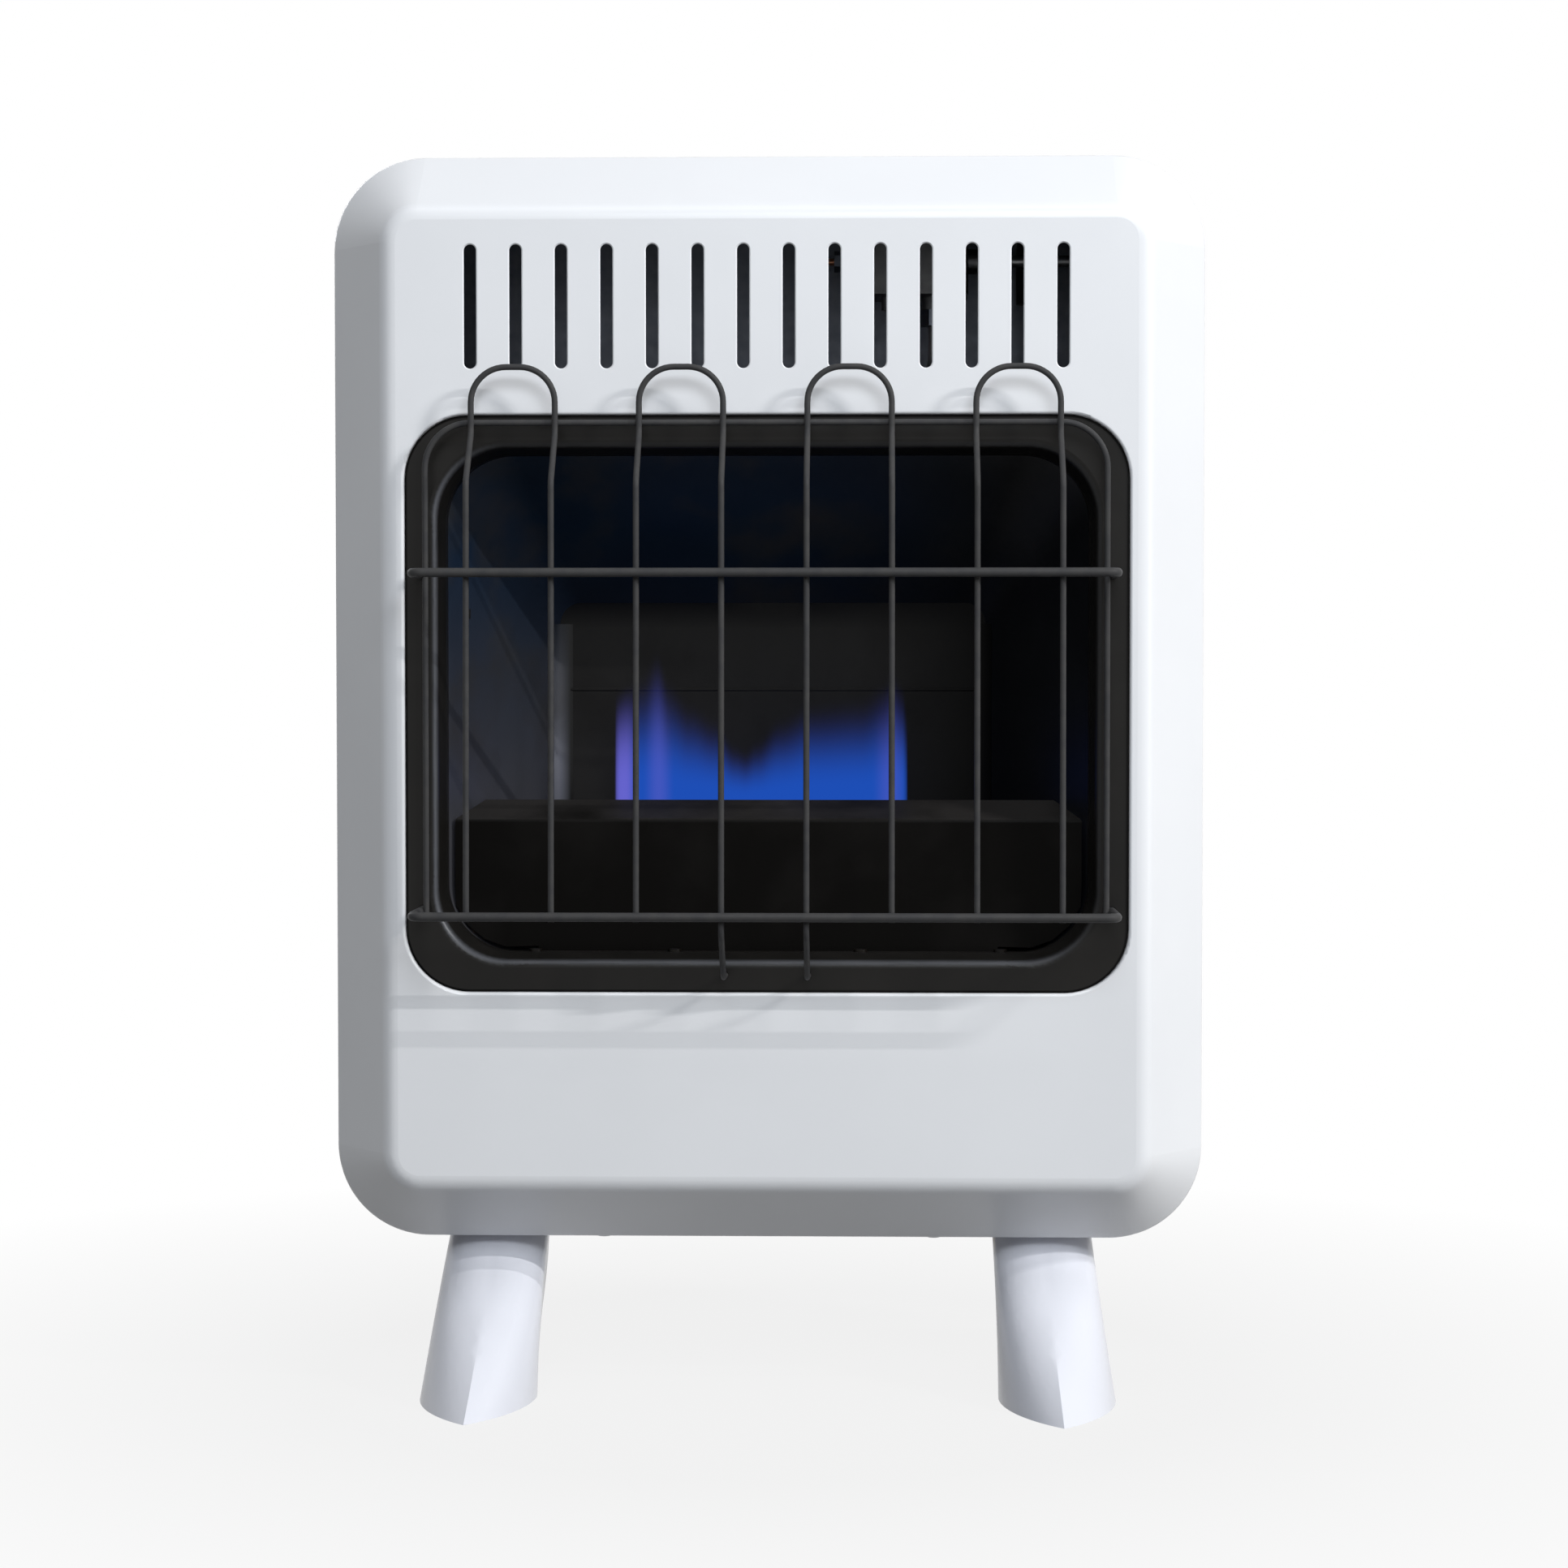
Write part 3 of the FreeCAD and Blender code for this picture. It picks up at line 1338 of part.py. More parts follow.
def make_igniter():
    # Spark igniter through the tray floor, held by a nut, with a push button in its bore
    body = new_body("igniter_body")
    place(body, (igniter_x, igniter_y, tray_z))
    barrel = draw_circle(plan_sketch(body, -size.igniter_length), zero, zero, size.igniter_radius)
    pad(body, barrel, size.igniter_length, 1)
    flange = draw_circle(plan_sketch(body, zero), zero, zero, size.igniter_flange)
    pad(body, flange, size.igniter_flange_height, 1)
    room = size.button_depth + size.button_travel + size.slip_gap
    bore = draw_circle(plan_sketch(body, -room), zero, zero, size.button_radius + size.fit_gap)
    pocket(body, bore, room + size.igniter_flange_height + size.overrun, 1)

    ring = nut((igniter_x, igniter_y, tray_base), DOWN, size.igniter_radius + size.slip_gap,
               size.igniter_nut, size.igniter_nut_height)
    ring.Label = "igniter_nut"
    as_node(ring)

    head_z = tray_z + size.igniter_flange_height + size.button_travel + 2 * size.slip_gap
    shaft = cylinder((igniter_x, igniter_y, tray_z - size.button_depth), UP, size.button_radius,
                     head_z - tray_z + size.button_depth)
    head = cylinder((igniter_x, igniter_y, head_z), UP, size.button_head, size.button_head_height)
    as_node(fuse([shaft, head], "igniter_button"))


def make_regulator():
    # Turned regulator on the cabinet floor, and the gas inlet below it
    body = new_body("regulator")
    place(body, (inlet_x, inlet_y, shell_floor))
    base_top = size.regulator_base_height
    body_top = base_top + size.regulator_body_height
    edge = size.regulator_edge
    section = [(zero, zero), (size.regulator_base, zero), (size.regulator_base, base_top),
               (size.regulator_radius - edge, base_top), (size.regulator_radius, base_top + edge),
               (size.regulator_radius, body_top - edge), (size.regulator_radius - edge, body_top),
               (size.regulator_cap, body_top),
               (size.regulator_cap, body_top + size.regulator_cap_height - edge),
               (size.regulator_cap - edge, body_top + size.regulator_cap_height),
               (zero, body_top + size.regulator_cap_height)]
    revolve(body, draw_polygon(front_sketch(body, zero), section), "V_Axis")

    neck_end = shell_bottom - size.locknut_height
    neck = cylinder((inlet_x, inlet_y, shell_floor), DOWN, size.inlet_neck, shell_floor - neck_end)
    thread = cylinder((inlet_x, inlet_y, neck_end), DOWN, size.inlet_radius, size.inlet_length)
    bore = cylinder((inlet_x, inlet_y, shell_bottom), DOWN, size.inlet_bore,
                    size.locknut_height + size.inlet_length)
    as_node(cut(fuse([neck, thread]), [bore], "gas_inlet"))
    ring = nut((inlet_x, inlet_y, shell_bottom), DOWN, size.inlet_neck + size.slip_gap,
               size.locknut_radius, size.locknut_height)
    ring.Label = "inlet_locknut"
    as_node(ring)


def make_tubes():
    # Gas tubes with their nuts, and the two leads of the pilot
    under = floor_z - size.firebox_wall
    clear_z = port_end - size.valve_clear
    sweep_z = port_end - size.valve_sweep
    pilot_end = shelf_z - size.pilot_reach
    bent_rod("inlet_tube", [(inlet_x, inlet_y, regulator_top), (inlet_x, inlet_y, sweep_z),
                            (inlet_port_x, tray_y, clear_z), (inlet_port_x, tray_y, port_end)],
             size.inlet_tube_radius, size.tube_bend)
    supply_start = valve_right + size.boss_length
    bent_rod("burner_supply_tube",
             [(supply_start, tray_y, port_z), (supply_x, tray_y, port_z),
              (supply_x, tray_y, burner_z + size.jog_high), (supply_x, burner_y, burner_z + size.jog_low),
              (supply_x, burner_y, burner_z), (jet_end, burner_y, burner_z)],
             size.supply_tube_radius, size.tube_bend)
    pilot_start = valve_left - size.boss_length
    pilot_lane_x = valve_x - size.pilot_lane
    bent_rod("pilot_tube",
             [(pilot_start, tray_y, port_z), (pilot_lane_x, tray_y, port_z),
              (pilot_lane_x, tube_lane_y, sweep_z),
              (pilot_lane_x, tube_lane_y, under - size.pilot_drop),
              (pilot_x, burner_y, under - size.pilot_drop),
              (pilot_x, burner_y, pilot_end)],
             size.pilot_tube_radius, size.lead_bend)
    sensor_lane_x = valve_x - size.sensor_lane
    bent_rod("thermocouple_lead",
             [(sensor_port_x, tray_y, port_end), (sensor_port_x, tray_y, clear_z),
              (sensor_lane_x, tube_lane_y, sweep_z), (sensor_lane_x, tube_lane_y, under - size.sensor_drop),
              (sensor_x, burner_y, under - size.sensor_drop), (sensor_x, burner_y, pilot_end)],
             size.sensor_lead_radius, size.lead_bend)
    spark_z = under - size.spark_drop
    bent_rod("spark_lead",
             [(igniter_x, igniter_y, igniter_base), (igniter_x, igniter_y, clear_z),
              (igniter_x, spark_lane_y, sweep_z), (igniter_x, spark_lane_y, spark_z),
              (spark_x + size.spark_sweep, spark_lane_y, spark_z), (spark_x, burner_y, spark_z),
              (spark_x, burner_y, pilot_end)],
             size.spark_lead_radius, size.lead_bend)
    ends = [((inlet_x, inlet_y, regulator_top), UP, size.inlet_tube_radius),
            ((inlet_port_x, tray_y, port_end), DOWN, size.inlet_tube_radius),
            ((supply_start, tray_y, port_z), RIGHT, size.supply_tube_radius),
            ((jet_end, burner_y, burner_z), RIGHT, size.supply_tube_radius),
            ((pilot_start, tray_y, port_z), LEFT, size.pilot_tube_radius)]
    group("tube_nuts", [nut(at, axis, radius + size.slip_gap, radius + size.nut_wall, size.nut_height)
                        for at, axis, radius in ends])


def make_leg(label, side):
    # Hollow moulded leg: round top under the case, keeled toes to the front and the back, arched below
    body = new_body(label)
    place(body, (side * leg_x, zero, zero))
    waist_x = side * size.leg_waist_shift
    toe_x = side * size.leg_toe_shift
    wall = size.leg_wall
    thin = 2 * wall
    toe = (size.leg_toe_width, size.leg_toe_rear)
    waist = (size.leg_waist_width, size.leg_waist_rear)
    top = (size.leg_top_width, size.leg_top_rear)
    outer = [draw_prow(plan_sketch(body, zero), toe_x, zero, toe, size.leg_toe_length, size.leg_toe_nose),
             draw_prow(plan_sketch(body, size.leg_waist_rise), waist_x, leg_waist_y, waist,
                       size.leg_waist_length, size.leg_waist_nose),
             draw_prow(plan_sketch(body, shell_bottom), zero, leg_top_y, top,
                       size.leg_top_length, size.leg_top_width / 2)]
    loft(body, "AdditiveLoft", outer, ruled=False)
    toe, waist, top = ([width - thin for width in widths] for widths in (toe, waist, top))
    inner = [draw_prow(plan_sketch(body, zero), toe_x, zero, toe, size.leg_toe_length - 2 * thin,
                       size.leg_toe_nose - thin),
             draw_prow(plan_sketch(body, size.leg_waist_rise), waist_x, leg_waist_y, waist,
                       size.leg_waist_length - 2 * thin, size.leg_waist_nose - thin),
             draw_prow(plan_sketch(body, shell_bottom - size.leg_cap), zero, leg_top_y, top,
                       size.leg_top_length - thin, size.leg_top_width / 2 - wall)]
    loft(body, "SubtractiveLoft", inner, ruled=False)
    half = size.arch_width / 2
    radius = (half * half + size.arch_height * size.arch_height) / (2 * size.arch_height)
    arch = draw_circle(side_sketch(body, zero), zero, size.arch_height - radius, radius)
    pocket(body, arch, 2 * size.leg_toe_width, 0)
    holes = plan_sketch(body, shell_bottom)
    for y in leg_screw_places:
        draw_circle(holes, zero, y, size.leg_screw_radius + size.screw_gap)
    pocket(body, holes, size.leg_cap + size.overrun, -1)


def make_screws():
    lip_z = throat.middle - throat.height / 2
    group("bezel_screws", [small_screw((x, bezel_screw_y, lip_z), DOWN) for x in bezel_screw_places])
    group("panel_screws", [screw((x, panel_screw_y, case_bottom), UP, size.screw_radius, size.screw_length,
                                 size.screw_head, size.panel_head_height) for x in panel_screw_places])
    sides = ((shell.width / 2, LEFT), (-shell.width / 2, RIGHT))
    group("back_screws", [small_screw((x, back_screw_y, z), axis)
                          for x, axis in sides for z in back_screw_heights])
    group("firebox_screws", [small_screw((x, back_y, z), FRONT)
                             for x in (-spacer_x, spacer_x) for z in spacer_heights])
    places = [(x, y, floor_z + size.saddle_wall) for x, y in saddle_screws]
    places += [(x, y, floor_z + size.shield_wall) for x, y in shield_screws]
    places.append((*pilot_screw, floor_z + size.pilot_wall))
    group("floor_screws", [small_screw(at, DOWN) for at in places])
    group("valve_screws", [small_screw((x, tray_y, tray_z), DOWN) for x in valve_screw_places])
    legs = [(side * leg_x, y, shell_bottom - size.leg_cap) for side in (-1, 1) for y in leg_screw_places]
    group("leg_screws", [screw(at, UP, size.leg_screw_radius, size.leg_screw_length, size.leg_screw_head,
                               size.leg_screw_head_height) for at in legs])


make_front_panel()
make_cabinet_shell()
make_back_panel()
make_bezel()
make_guard()
make_firebox()
make_shield()
make_burner()
make_jet()
make_pilot()
make_tray()
make_valve()
make_knob()
make_igniter()
make_regulator()
make_tubes()
make_leg("left_leg", -1)
make_leg("right_leg", 1)
make_screws()
doc.recompute()

# Nothing is written unless every object is sound
for item in doc.Objects:
    assert not {"Invalid", "Error"} & set(item.State), f"{item.Label} is {item.State}"
for item in nodes:
    assert not item.Shape.isNull() and item.Shape.isValid(), f"{item.Label} has no sound shape"
os.makedirs("parts", exist_ok=True)
for item in nodes:
    item.Shape.exportStep(f"parts/{item.Label}.step")
print(len(nodes), "sub-parts")
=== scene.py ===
import bpy
import math
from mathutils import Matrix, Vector


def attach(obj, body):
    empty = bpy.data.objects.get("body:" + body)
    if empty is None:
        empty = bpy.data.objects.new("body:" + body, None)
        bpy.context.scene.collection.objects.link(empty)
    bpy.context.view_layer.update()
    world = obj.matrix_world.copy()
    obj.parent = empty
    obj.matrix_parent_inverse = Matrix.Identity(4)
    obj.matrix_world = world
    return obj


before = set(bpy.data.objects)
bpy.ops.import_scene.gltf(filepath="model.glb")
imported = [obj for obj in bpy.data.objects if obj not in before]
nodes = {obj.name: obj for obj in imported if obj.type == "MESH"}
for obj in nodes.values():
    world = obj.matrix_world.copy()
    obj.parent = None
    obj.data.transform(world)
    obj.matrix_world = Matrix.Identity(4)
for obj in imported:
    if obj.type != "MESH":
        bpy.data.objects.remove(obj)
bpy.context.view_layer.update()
scene = bpy.context.scene
scene.view_settings.view_transform = "Standard"
print("frame loaded:", len(nodes), "nodes")


# finishes: two close colours, a mottle, a roughness range and a fine bump
finishes = {
    "whiteEnamel": dict(color=(0.80, 0.81, 0.835), shade=(0.775, 0.785, 0.81), mottle=9,
                        rough=(0.30, 0.38), grain=1400, depth=0.00002, specular=0.4,
                        coat=0.15, coatRough=0.2),
    "whitePlastic": dict(color=(0.72, 0.73, 0.79), shade=(0.705, 0.715, 0.775), mottle=14,
                         rough=(0.25, 0.27), grain=900, depth=0.00001, specular=0.5),
    "blackEnamel": dict(color=(0.004, 0.0035, 0.003), shade=(0.007, 0.0055, 0.0045), mottle=22,
                        rough=(0.28, 0.36), grain=1100, depth=0.00003, specular=0.12),
    "bezelEnamel": dict(color=(0.0072, 0.0067, 0.0062), shade=(0.0102, 0.0094, 0.0086), mottle=22,
                        rough=(0.28, 0.36), grain=1100, depth=0.00003, specular=0.15,
                        # rollHighlight: the painted highlight colour of the rolled throat edge
                        rollHighlight=(0.075, 0.078, 0.088)),
    "guardCoat": dict(color=(0.045, 0.045, 0.047), shade=(0.055, 0.054, 0.054), mottle=120,
                      rough=(0.38, 0.48), grain=2200, depth=0.00003, specular=0.06),
    "burnerSteel": dict(color=(0.34, 0.33, 0.33), shade=(0.22, 0.20, 0.19), mottle=40,
                        rough=(0.38, 0.55), grain=800, depth=0.00003, metal=1.0),
    "platedSteel": dict(color=(0.30, 0.33, 0.39), shade=(0.22, 0.245, 0.30), mottle=70,
                        rough=(0.28, 0.42), grain=500, depth=0.00002, metal=1.0),
    "rearSheet": dict(color=(0.27, 0.295, 0.35), shade=(0.235, 0.258, 0.31), mottle=110,
                      rough=(0.34, 0.48), grain=500, depth=0.00002, metal=1.0),
    "brightSteel": dict(color=(0.66, 0.67, 0.69), shade=(0.56, 0.57, 0.60), mottle=150,
                        rough=(0.16, 0.26), grain=1500, depth=0.00001, metal=1.0),
    "castAluminium": dict(color=(0.30, 0.305, 0.315), shade=(0.24, 0.245, 0.255), mottle=90,
                          rough=(0.42, 0.55), grain=1300, depth=0.00008, metal=1.0),
    "satinAluminium": dict(color=(0.66, 0.67, 0.68), shade=(0.55, 0.56, 0.58), mottle=60,
                           rough=(0.34, 0.46), grain=1300, depth=0.00005, metal=1.0),
    "turnedBrass": dict(color=(0.74, 0.53, 0.22), shade=(0.60, 0.40, 0.15), mottle=80,
                        rough=(0.24, 0.36), grain=1600, depth=0.00002, metal=1.0),
    "drawnCopper": dict(color=(0.76, 0.40, 0.26), shade=(0.58, 0.27, 0.17), mottle=90,
                        rough=(0.26, 0.42), grain=1200, depth=0.00002, metal=1.0),
    "glazedPorcelain": dict(color=(0.80, 0.78, 0.72), shade=(0.74, 0.71, 0.64), mottle=200,
                            rough=(0.12, 0.20), grain=900, depth=0.00001, specular=0.5),
    "leadSleeve": dict(color=(0.20, 0.022, 0.018), shade=(0.15, 0.016, 0.014), mottle=160,
                       rough=(0.40, 0.52), grain=1500, depth=0.00003, specular=0.4),
    "blackPlastic": dict(color=(0.022, 0.022, 0.024), shade=(0.028, 0.028, 0.030), mottle=60,
                         rough=(0.42, 0.52), grain=3200, depth=0.00008, specular=0.4),
    "deepShade": dict(color=(0.006, 0.006, 0.007), shade=(0.010, 0.010, 0.011), mottle=400,
                      rough=(0.5, 0.6), grain=2600, depth=0.00001, specular=0.1),
    "markWhite": dict(color=(0.78, 0.78, 0.76), shade=(0.72, 0.72, 0.70), mottle=300,
                      rough=(0.45, 0.55), grain=2600, depth=0.00001, specular=0.4),
}
# noise ranges that give tone and gloss, and how fine the gloss and the grain are
noiseUse = dict(tone=(0.35, 0.65), gloss=(0.3, 0.7), finer=2.3, grainDetail=2.0, bump=0.6)


def newMaterial(name):
    material = bpy.data.materials.new(name)
    material.use_nodes = True
    tree = material.node_tree
    return material, tree, tree.nodes["Principled BSDF"]


def addNoise(tree, place, scale, detail=3.0):
    noise = tree.nodes.new("ShaderNodeTexNoise")
    noise.inputs["Scale"].default_value = scale
    noise.inputs["Detail"].default_value = detail
    tree.links.new(place.outputs["Object"], noise.inputs["Vector"])
    return noise


def mixColors(tree, factor, first, second):
    mix = tree.nodes.new("ShaderNodeMix")
    mix.data_type = "RGBA"
    tree.links.new(factor, mix.inputs["Factor"])
    for socket, color in zip((mix.inputs[6], mix.inputs[7]), (first, second)):
        if isinstance(color, tuple):
            socket.default_value = (*color, 1)
        else:
            tree.links.new(color, socket)
    return mix.outputs[2]


def spread(tree, source, low, high, newLow=0.0, newHigh=1.0):
    mapping = tree.nodes.new("ShaderNodeMapRange")
    limits = {"From Min": low, "From Max": high, "To Min": newLow, "To Max": newHigh}
    for name, value in limits.items():
        mapping.inputs[name].default_value = value
    tree.links.new(source, mapping.inputs["Value"])
    return mapping.outputs["Result"]


def addGrain(tree, place, shader, scale, depth):
    grain = addNoise(tree, place, scale, noiseUse["grainDetail"])
    bump = tree.nodes.new("ShaderNodeBump")
    bump.inputs["Distance"].default_value = depth
    bump.inputs["Strength"].default_value = noiseUse["bump"]
    tree.links.new(grain.outputs["Fac"], bump.inputs["Height"])
    tree.links.new(bump.outputs["Normal"], shader.inputs["Normal"])


def joinMath(tree, operation, first, second):
    step = tree.nodes.new("ShaderNodeMath")
    step.operation = operation
    for socket, value in zip(step.inputs, (first, second)):
        if isinstance(value, (int, float)):
            socket.default_value = value
        else:
            tree.links.new(value, socket)
    return step.outputs[0]


# painted highlight where the sheet rolls into the throat: a lighter colour on the roll,
# strongest at the left and below, the sides that face the lamps; rise and fall are ranges
# of the normal's y, facingLamps of its x and a share of its z
rollHighlightMask = dict(rise=(-0.97, -0.84), fall=(-0.80, -0.35), upShare=0.5, facingLamps=(-0.3, 0.5), least=0.15)


def paintedRollHighlight(tree, place):
    axes = tree.nodes.new("ShaderNodeSeparateXYZ")
    tree.links.new(place.outputs["Normal"], axes.inputs["Vector"])
    x, y, z = (axes.outputs[name] for name in "XYZ")
    rising = spread(tree, y, *rollHighlightMask["rise"])
    falling = spread(tree, y, *rollHighlightMask["fall"], 1.0, 0.0)
    turned = joinMath(tree, "MULTIPLY", rising, falling)
    upward = joinMath(tree, "MULTIPLY", z, rollHighlightMask["upShare"])
    towardLamps = joinMath(tree, "ADD", x, upward)
    facingLamps = spread(tree, towardLamps, *rollHighlightMask["facingLamps"], rollHighlightMask["least"], 1.0)
    return joinMath(tree, "MULTIPLY", turned, facingLamps)


def mottledFinish(name):
    look = finishes[name]
    material, tree, shader = newMaterial(name)
    place = tree.nodes.new("ShaderNodeTexCoord")
    mottle = addNoise(tree, place, look["mottle"])
    tone = spread(tree, mottle.outputs["Fac"], *noiseUse["tone"])
    color = mixColors(tree, tone, look["color"], look["shade"])
    # painted highlight on the bezel's rolled throat edge
    if "rollHighlight" in look:
        color = mixColors(tree, paintedRollHighlight(tree, place), color, look["rollHighlight"])
    tree.links.new(color, shader.inputs["Base Color"])
    smear = addNoise(tree, place, look["mottle"] * noiseUse["finer"])
    gloss = spread(tree, smear.outputs["Fac"], *noiseUse["gloss"], *look["rough"])
    tree.links.new(gloss, shader.inputs["Roughness"])
    addGrain(tree, place, shader, look["grain"], look["depth"])
    shader.inputs["Metallic"].default_value = look.get("metal", 0.0)
    shader.inputs["Specular IOR Level"].default_value = look.get("specular", 0.5)
    shader.inputs["Coat Weight"].default_value = look.get("coat", 0.0)
    shader.inputs["Coat Roughness"].default_value = look.get("coatRough", 0.2)
    return material


# firebox sheet: dark enamel with sooty patches, a painted upper tone from low to high
# and a painted shade towards one side; what the upper tone paints is given with each entry
fireboxLooks = {
    # cheek and hood: painted blue reflection of the flame towards the hood, painted shade towards
    # the right
    "cheekEnamel": dict(low=0.30, high=0.47, base=(0.040, 0.040, 0.046),
                        paintedUpper=(0.0030, 0.0110, 0.0270), soot=(0.022, 0.021, 0.021),
                        rough=(0.30, 0.42), specular=0.2,
                        side=(0.0, 0.13), sideShade=(0.0040, 0.0044, 0.0056)),
    # rear wall: painted shade at its top under the hood and towards its right end
    "hearthEnamel": dict(low=0.416, high=0.431, base=(0.0220, 0.0212, 0.0204),
                         paintedUpper=(0.0030, 0.0034, 0.0048), soot=(0.0160, 0.0153, 0.0146),
                         rough=(0.40, 0.52), specular=0.02,
                         side=(0.050, 0.118), sideShade=(0.0050, 0.0048, 0.0047)),
    # shield: painted light on the upturned lip above the bend
    "shieldEnamel": dict(low=0.3112, high=0.3122, base=(0.0032, 0.0029, 0.0026),
                         paintedUpper=(0.0225, 0.0208, 0.0200), soot=(0.0070, 0.0064, 0.0060),
                         rough=(0.36, 0.46), specular=0.03),
    # left bend: a painted highlight, darker towards the top and fading to painted shade at its inner
    # end
    "bendHighlight": dict(low=0.34, high=0.42, base=(0.150, 0.154, 0.175),
                       paintedUpper=(0.016, 0.019, 0.026), soot=(0.060, 0.060, 0.064),
                       rough=(0.34, 0.44), specular=0.2,
                       side=(-0.1215, -0.1145), sideShade=(0.0025, 0.0024, 0.0023)),
}
sooting = dict(scale=18, detail=5.0, dirt=(0.48, 0.75), grain=900, depth=0.00004)


def fireboxFinish(name):
    look = fireboxLooks[name]
    material, tree, shader = newMaterial(name)
    place = tree.nodes.new("ShaderNodeTexCoord")
    axes = tree.nodes.new("ShaderNodeSeparateXYZ")
    tree.links.new(place.outputs["Object"], axes.inputs["Vector"])
    # painted upper tone, blended in from low to high
    rise = spread(tree, axes.outputs["Z"], look["low"], look["high"])
    paintedUpper = mixColors(tree, rise, look["base"], look["paintedUpper"])
    smudge = addNoise(tree, place, sooting["scale"], sooting["detail"])
    dirt = spread(tree, smudge.outputs["Fac"], *sooting["dirt"])
    color = mixColors(tree, dirt, paintedUpper, look["soot"])
    # painted shade towards one side
    if "side" in look:
        aside = spread(tree, axes.outputs["X"], *look["side"])
        color = mixColors(tree, aside, color, look["sideShade"])
    tree.links.new(color, shader.inputs["Base Color"])
    gloss = spread(tree, smudge.outputs["Fac"], *noiseUse["gloss"], *look["rough"])
    tree.links.new(gloss, shader.inputs["Roughness"])
    addGrain(tree, place, shader, sooting["grain"], sooting["depth"])
    shader.inputs["Specular IOR Level"].default_value = look["specular"]
    return material


materials = {name: mottledFinish(name) for name in finishes}
materials.update((name, fireboxFinish(name)) for name in fireboxLooks)
worn = {
    "whiteEnamel": "front_panel cabinet_shell panel_screws back_screws",
    "whitePlastic": "left_leg right_leg",
    "bezelEnamel": "bezel_frame",
    "blackEnamel": "bezel_screws",
    "guardCoat": "guard_frame_wire guard_hairpins guard_upper_rod guard_lower_rod",
    "cheekEnamel": "firebox_surround",
    "hearthEnamel": "firebox_back",
    "shieldEnamel": "burner_shield",
    "burnerSteel": "burner_tube burner_saddles pilot_bracket",
    "rearSheet": "back_panel",
    "platedSteel": "firebox_spacers firebox_screws leg_screws floor_screws valve_screws "
                   "air_inlet_plate tube_nuts",
    "brightSteel": "valve_stem safety_plunger igniter_nut",
    "castAluminium": "gas_valve regulator",
    "satinAluminium": "burner_supply_tube inlet_tube",
    "turnedBrass": "injector pilot_burner gas_inlet inlet_locknut",
    "drawnCopper": "pilot_tube thermocouple thermocouple_lead",
    "glazedPorcelain": "spark_electrode",
    "leadSleeve": "spark_lead",
    "blackPlastic": "control_knob control_tray igniter_body igniter_button",
}
dressed = set()
for finishName, nodeNames in worn.items():
    for nodeName in nodeNames.split():
        mesh = nodes[nodeName].data
        mesh.materials.clear()
        mesh.materials.append(materials[finishName])
        dressed.add(nodeName)
# legs: seams joined, a sharp keel line and even normals elsewhere
legMesh = dict(merge=0.00001, keelTurn=22)
for nodeName in ("left_leg", "right_leg"):
    modifiers = nodes[nodeName].modifiers
    modifiers.new("weld", "WELD").merge_threshold = legMesh["merge"]
    modifiers.new("split", "EDGE_SPLIT").split_angle = math.radians(legMesh["keelTurn"])
    modifiers.new("evenNormals", "WEIGHTED_NORMAL")
print("finishes on", len(dressed), "nodes, left:", sorted(set(nodes) - dressed))


def meshPiece(name, points, faces, material, body="heater", smooth=True):
    mesh = bpy.data.meshes.new(name)
    mesh.from_pydata(points, [], faces)
    mesh.validate()
    piece = bpy.data.objects.new(name, mesh)
    scene.collection.objects.link(piece)
    mesh.materials.append(material)
    if smooth:
        mesh.shade_smooth()
    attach(piece, body)
    return piece


# firebox: rolled corners beside the rear wall, the left one with a painted highlight, a lap seam
# across it and a tab slit in the left cheek
bends = dict(cheek=(0.1730, -0.0555), corner=(0.12025, 0.0385), radius=0.012, inside=0.985,
             heights=(0.2530, 0.4185), steps=10,
             seam=dict(z=0.3815, half=0.1145, rise=0.0011, proud=0.0006),
             slit=dict(along=0.0205, z=0.4230, wide=0.0016, tall=0.0052, lift=0.0004))


def makeBends():
    look = bends
    cheek, corner = Vector(look["cheek"]), Vector(look["corner"])
    along = (cheek - corner).normalized()
    inward = Vector((-1.0, 0.0))
    half = along.angle(inward) / 2
    middle = corner + (along + inward).normalized() * (look["radius"] / math.sin(half))
    touch = look["radius"] / math.tan(half)
    first, last = (math.atan2(*reversed(corner + way * touch - middle)) for way in (along, inward))
    # the left bend gets the painted highlight, the right one the rear wall's enamel
    for side, name, finish in ((-1, "leftBend", "bendHighlight"), (1, "rightBend", "hearthEnamel")):
        points, faces = [], []
        for step in range(look["steps"] + 1):
            turn = first + (last - first) * step / look["steps"]
            out = Vector((math.cos(turn), math.sin(turn)))
            x, y = middle + out * look["radius"] * look["inside"]
            points += [(side * x, y, z) for z in look["heights"]]
        for step in range(look["steps"]):
            low = 2 * step
            faces.append((low, low + 1, low + 3, low + 2)[::side])
        meshPiece(name, points, faces, materials[finish])
    seam = look["seam"]
    wall = corner.y
    points = [(x, y, seam["z"] + z) for x in (-seam["half"], seam["half"])
              for y, z in ((wall, -seam["rise"]), (wall - seam["proud"], -seam["rise"] / 3),
                           (wall - seam["proud"], seam["rise"] / 3), (wall, seam["rise"]))]
    faces = [(step, step + 1, step + 5, step + 4) for step in range(3)]
    meshPiece("rearSeam", points, faces, materials["hearthEnamel"],
              smooth=False)
    slit = look["slit"]
    points = []
    for share in (-1, 1):
        spot = cheek - along * (slit["along"] + share * slit["wide"] / 2)
        points += [(slit["lift"] - spot.x, spot.y, slit["z"] + way * slit["tall"] / 2)
                   for way in (-1, 1)]
    # the slit is a flat quad in the deep-shade colour: painted shade in the opening
    meshPiece("cheekSlit", points, [(0, 1, 3, 2)], materials["deepShade"],
              smooth=False)


makeBends()
print("firebox bends made")


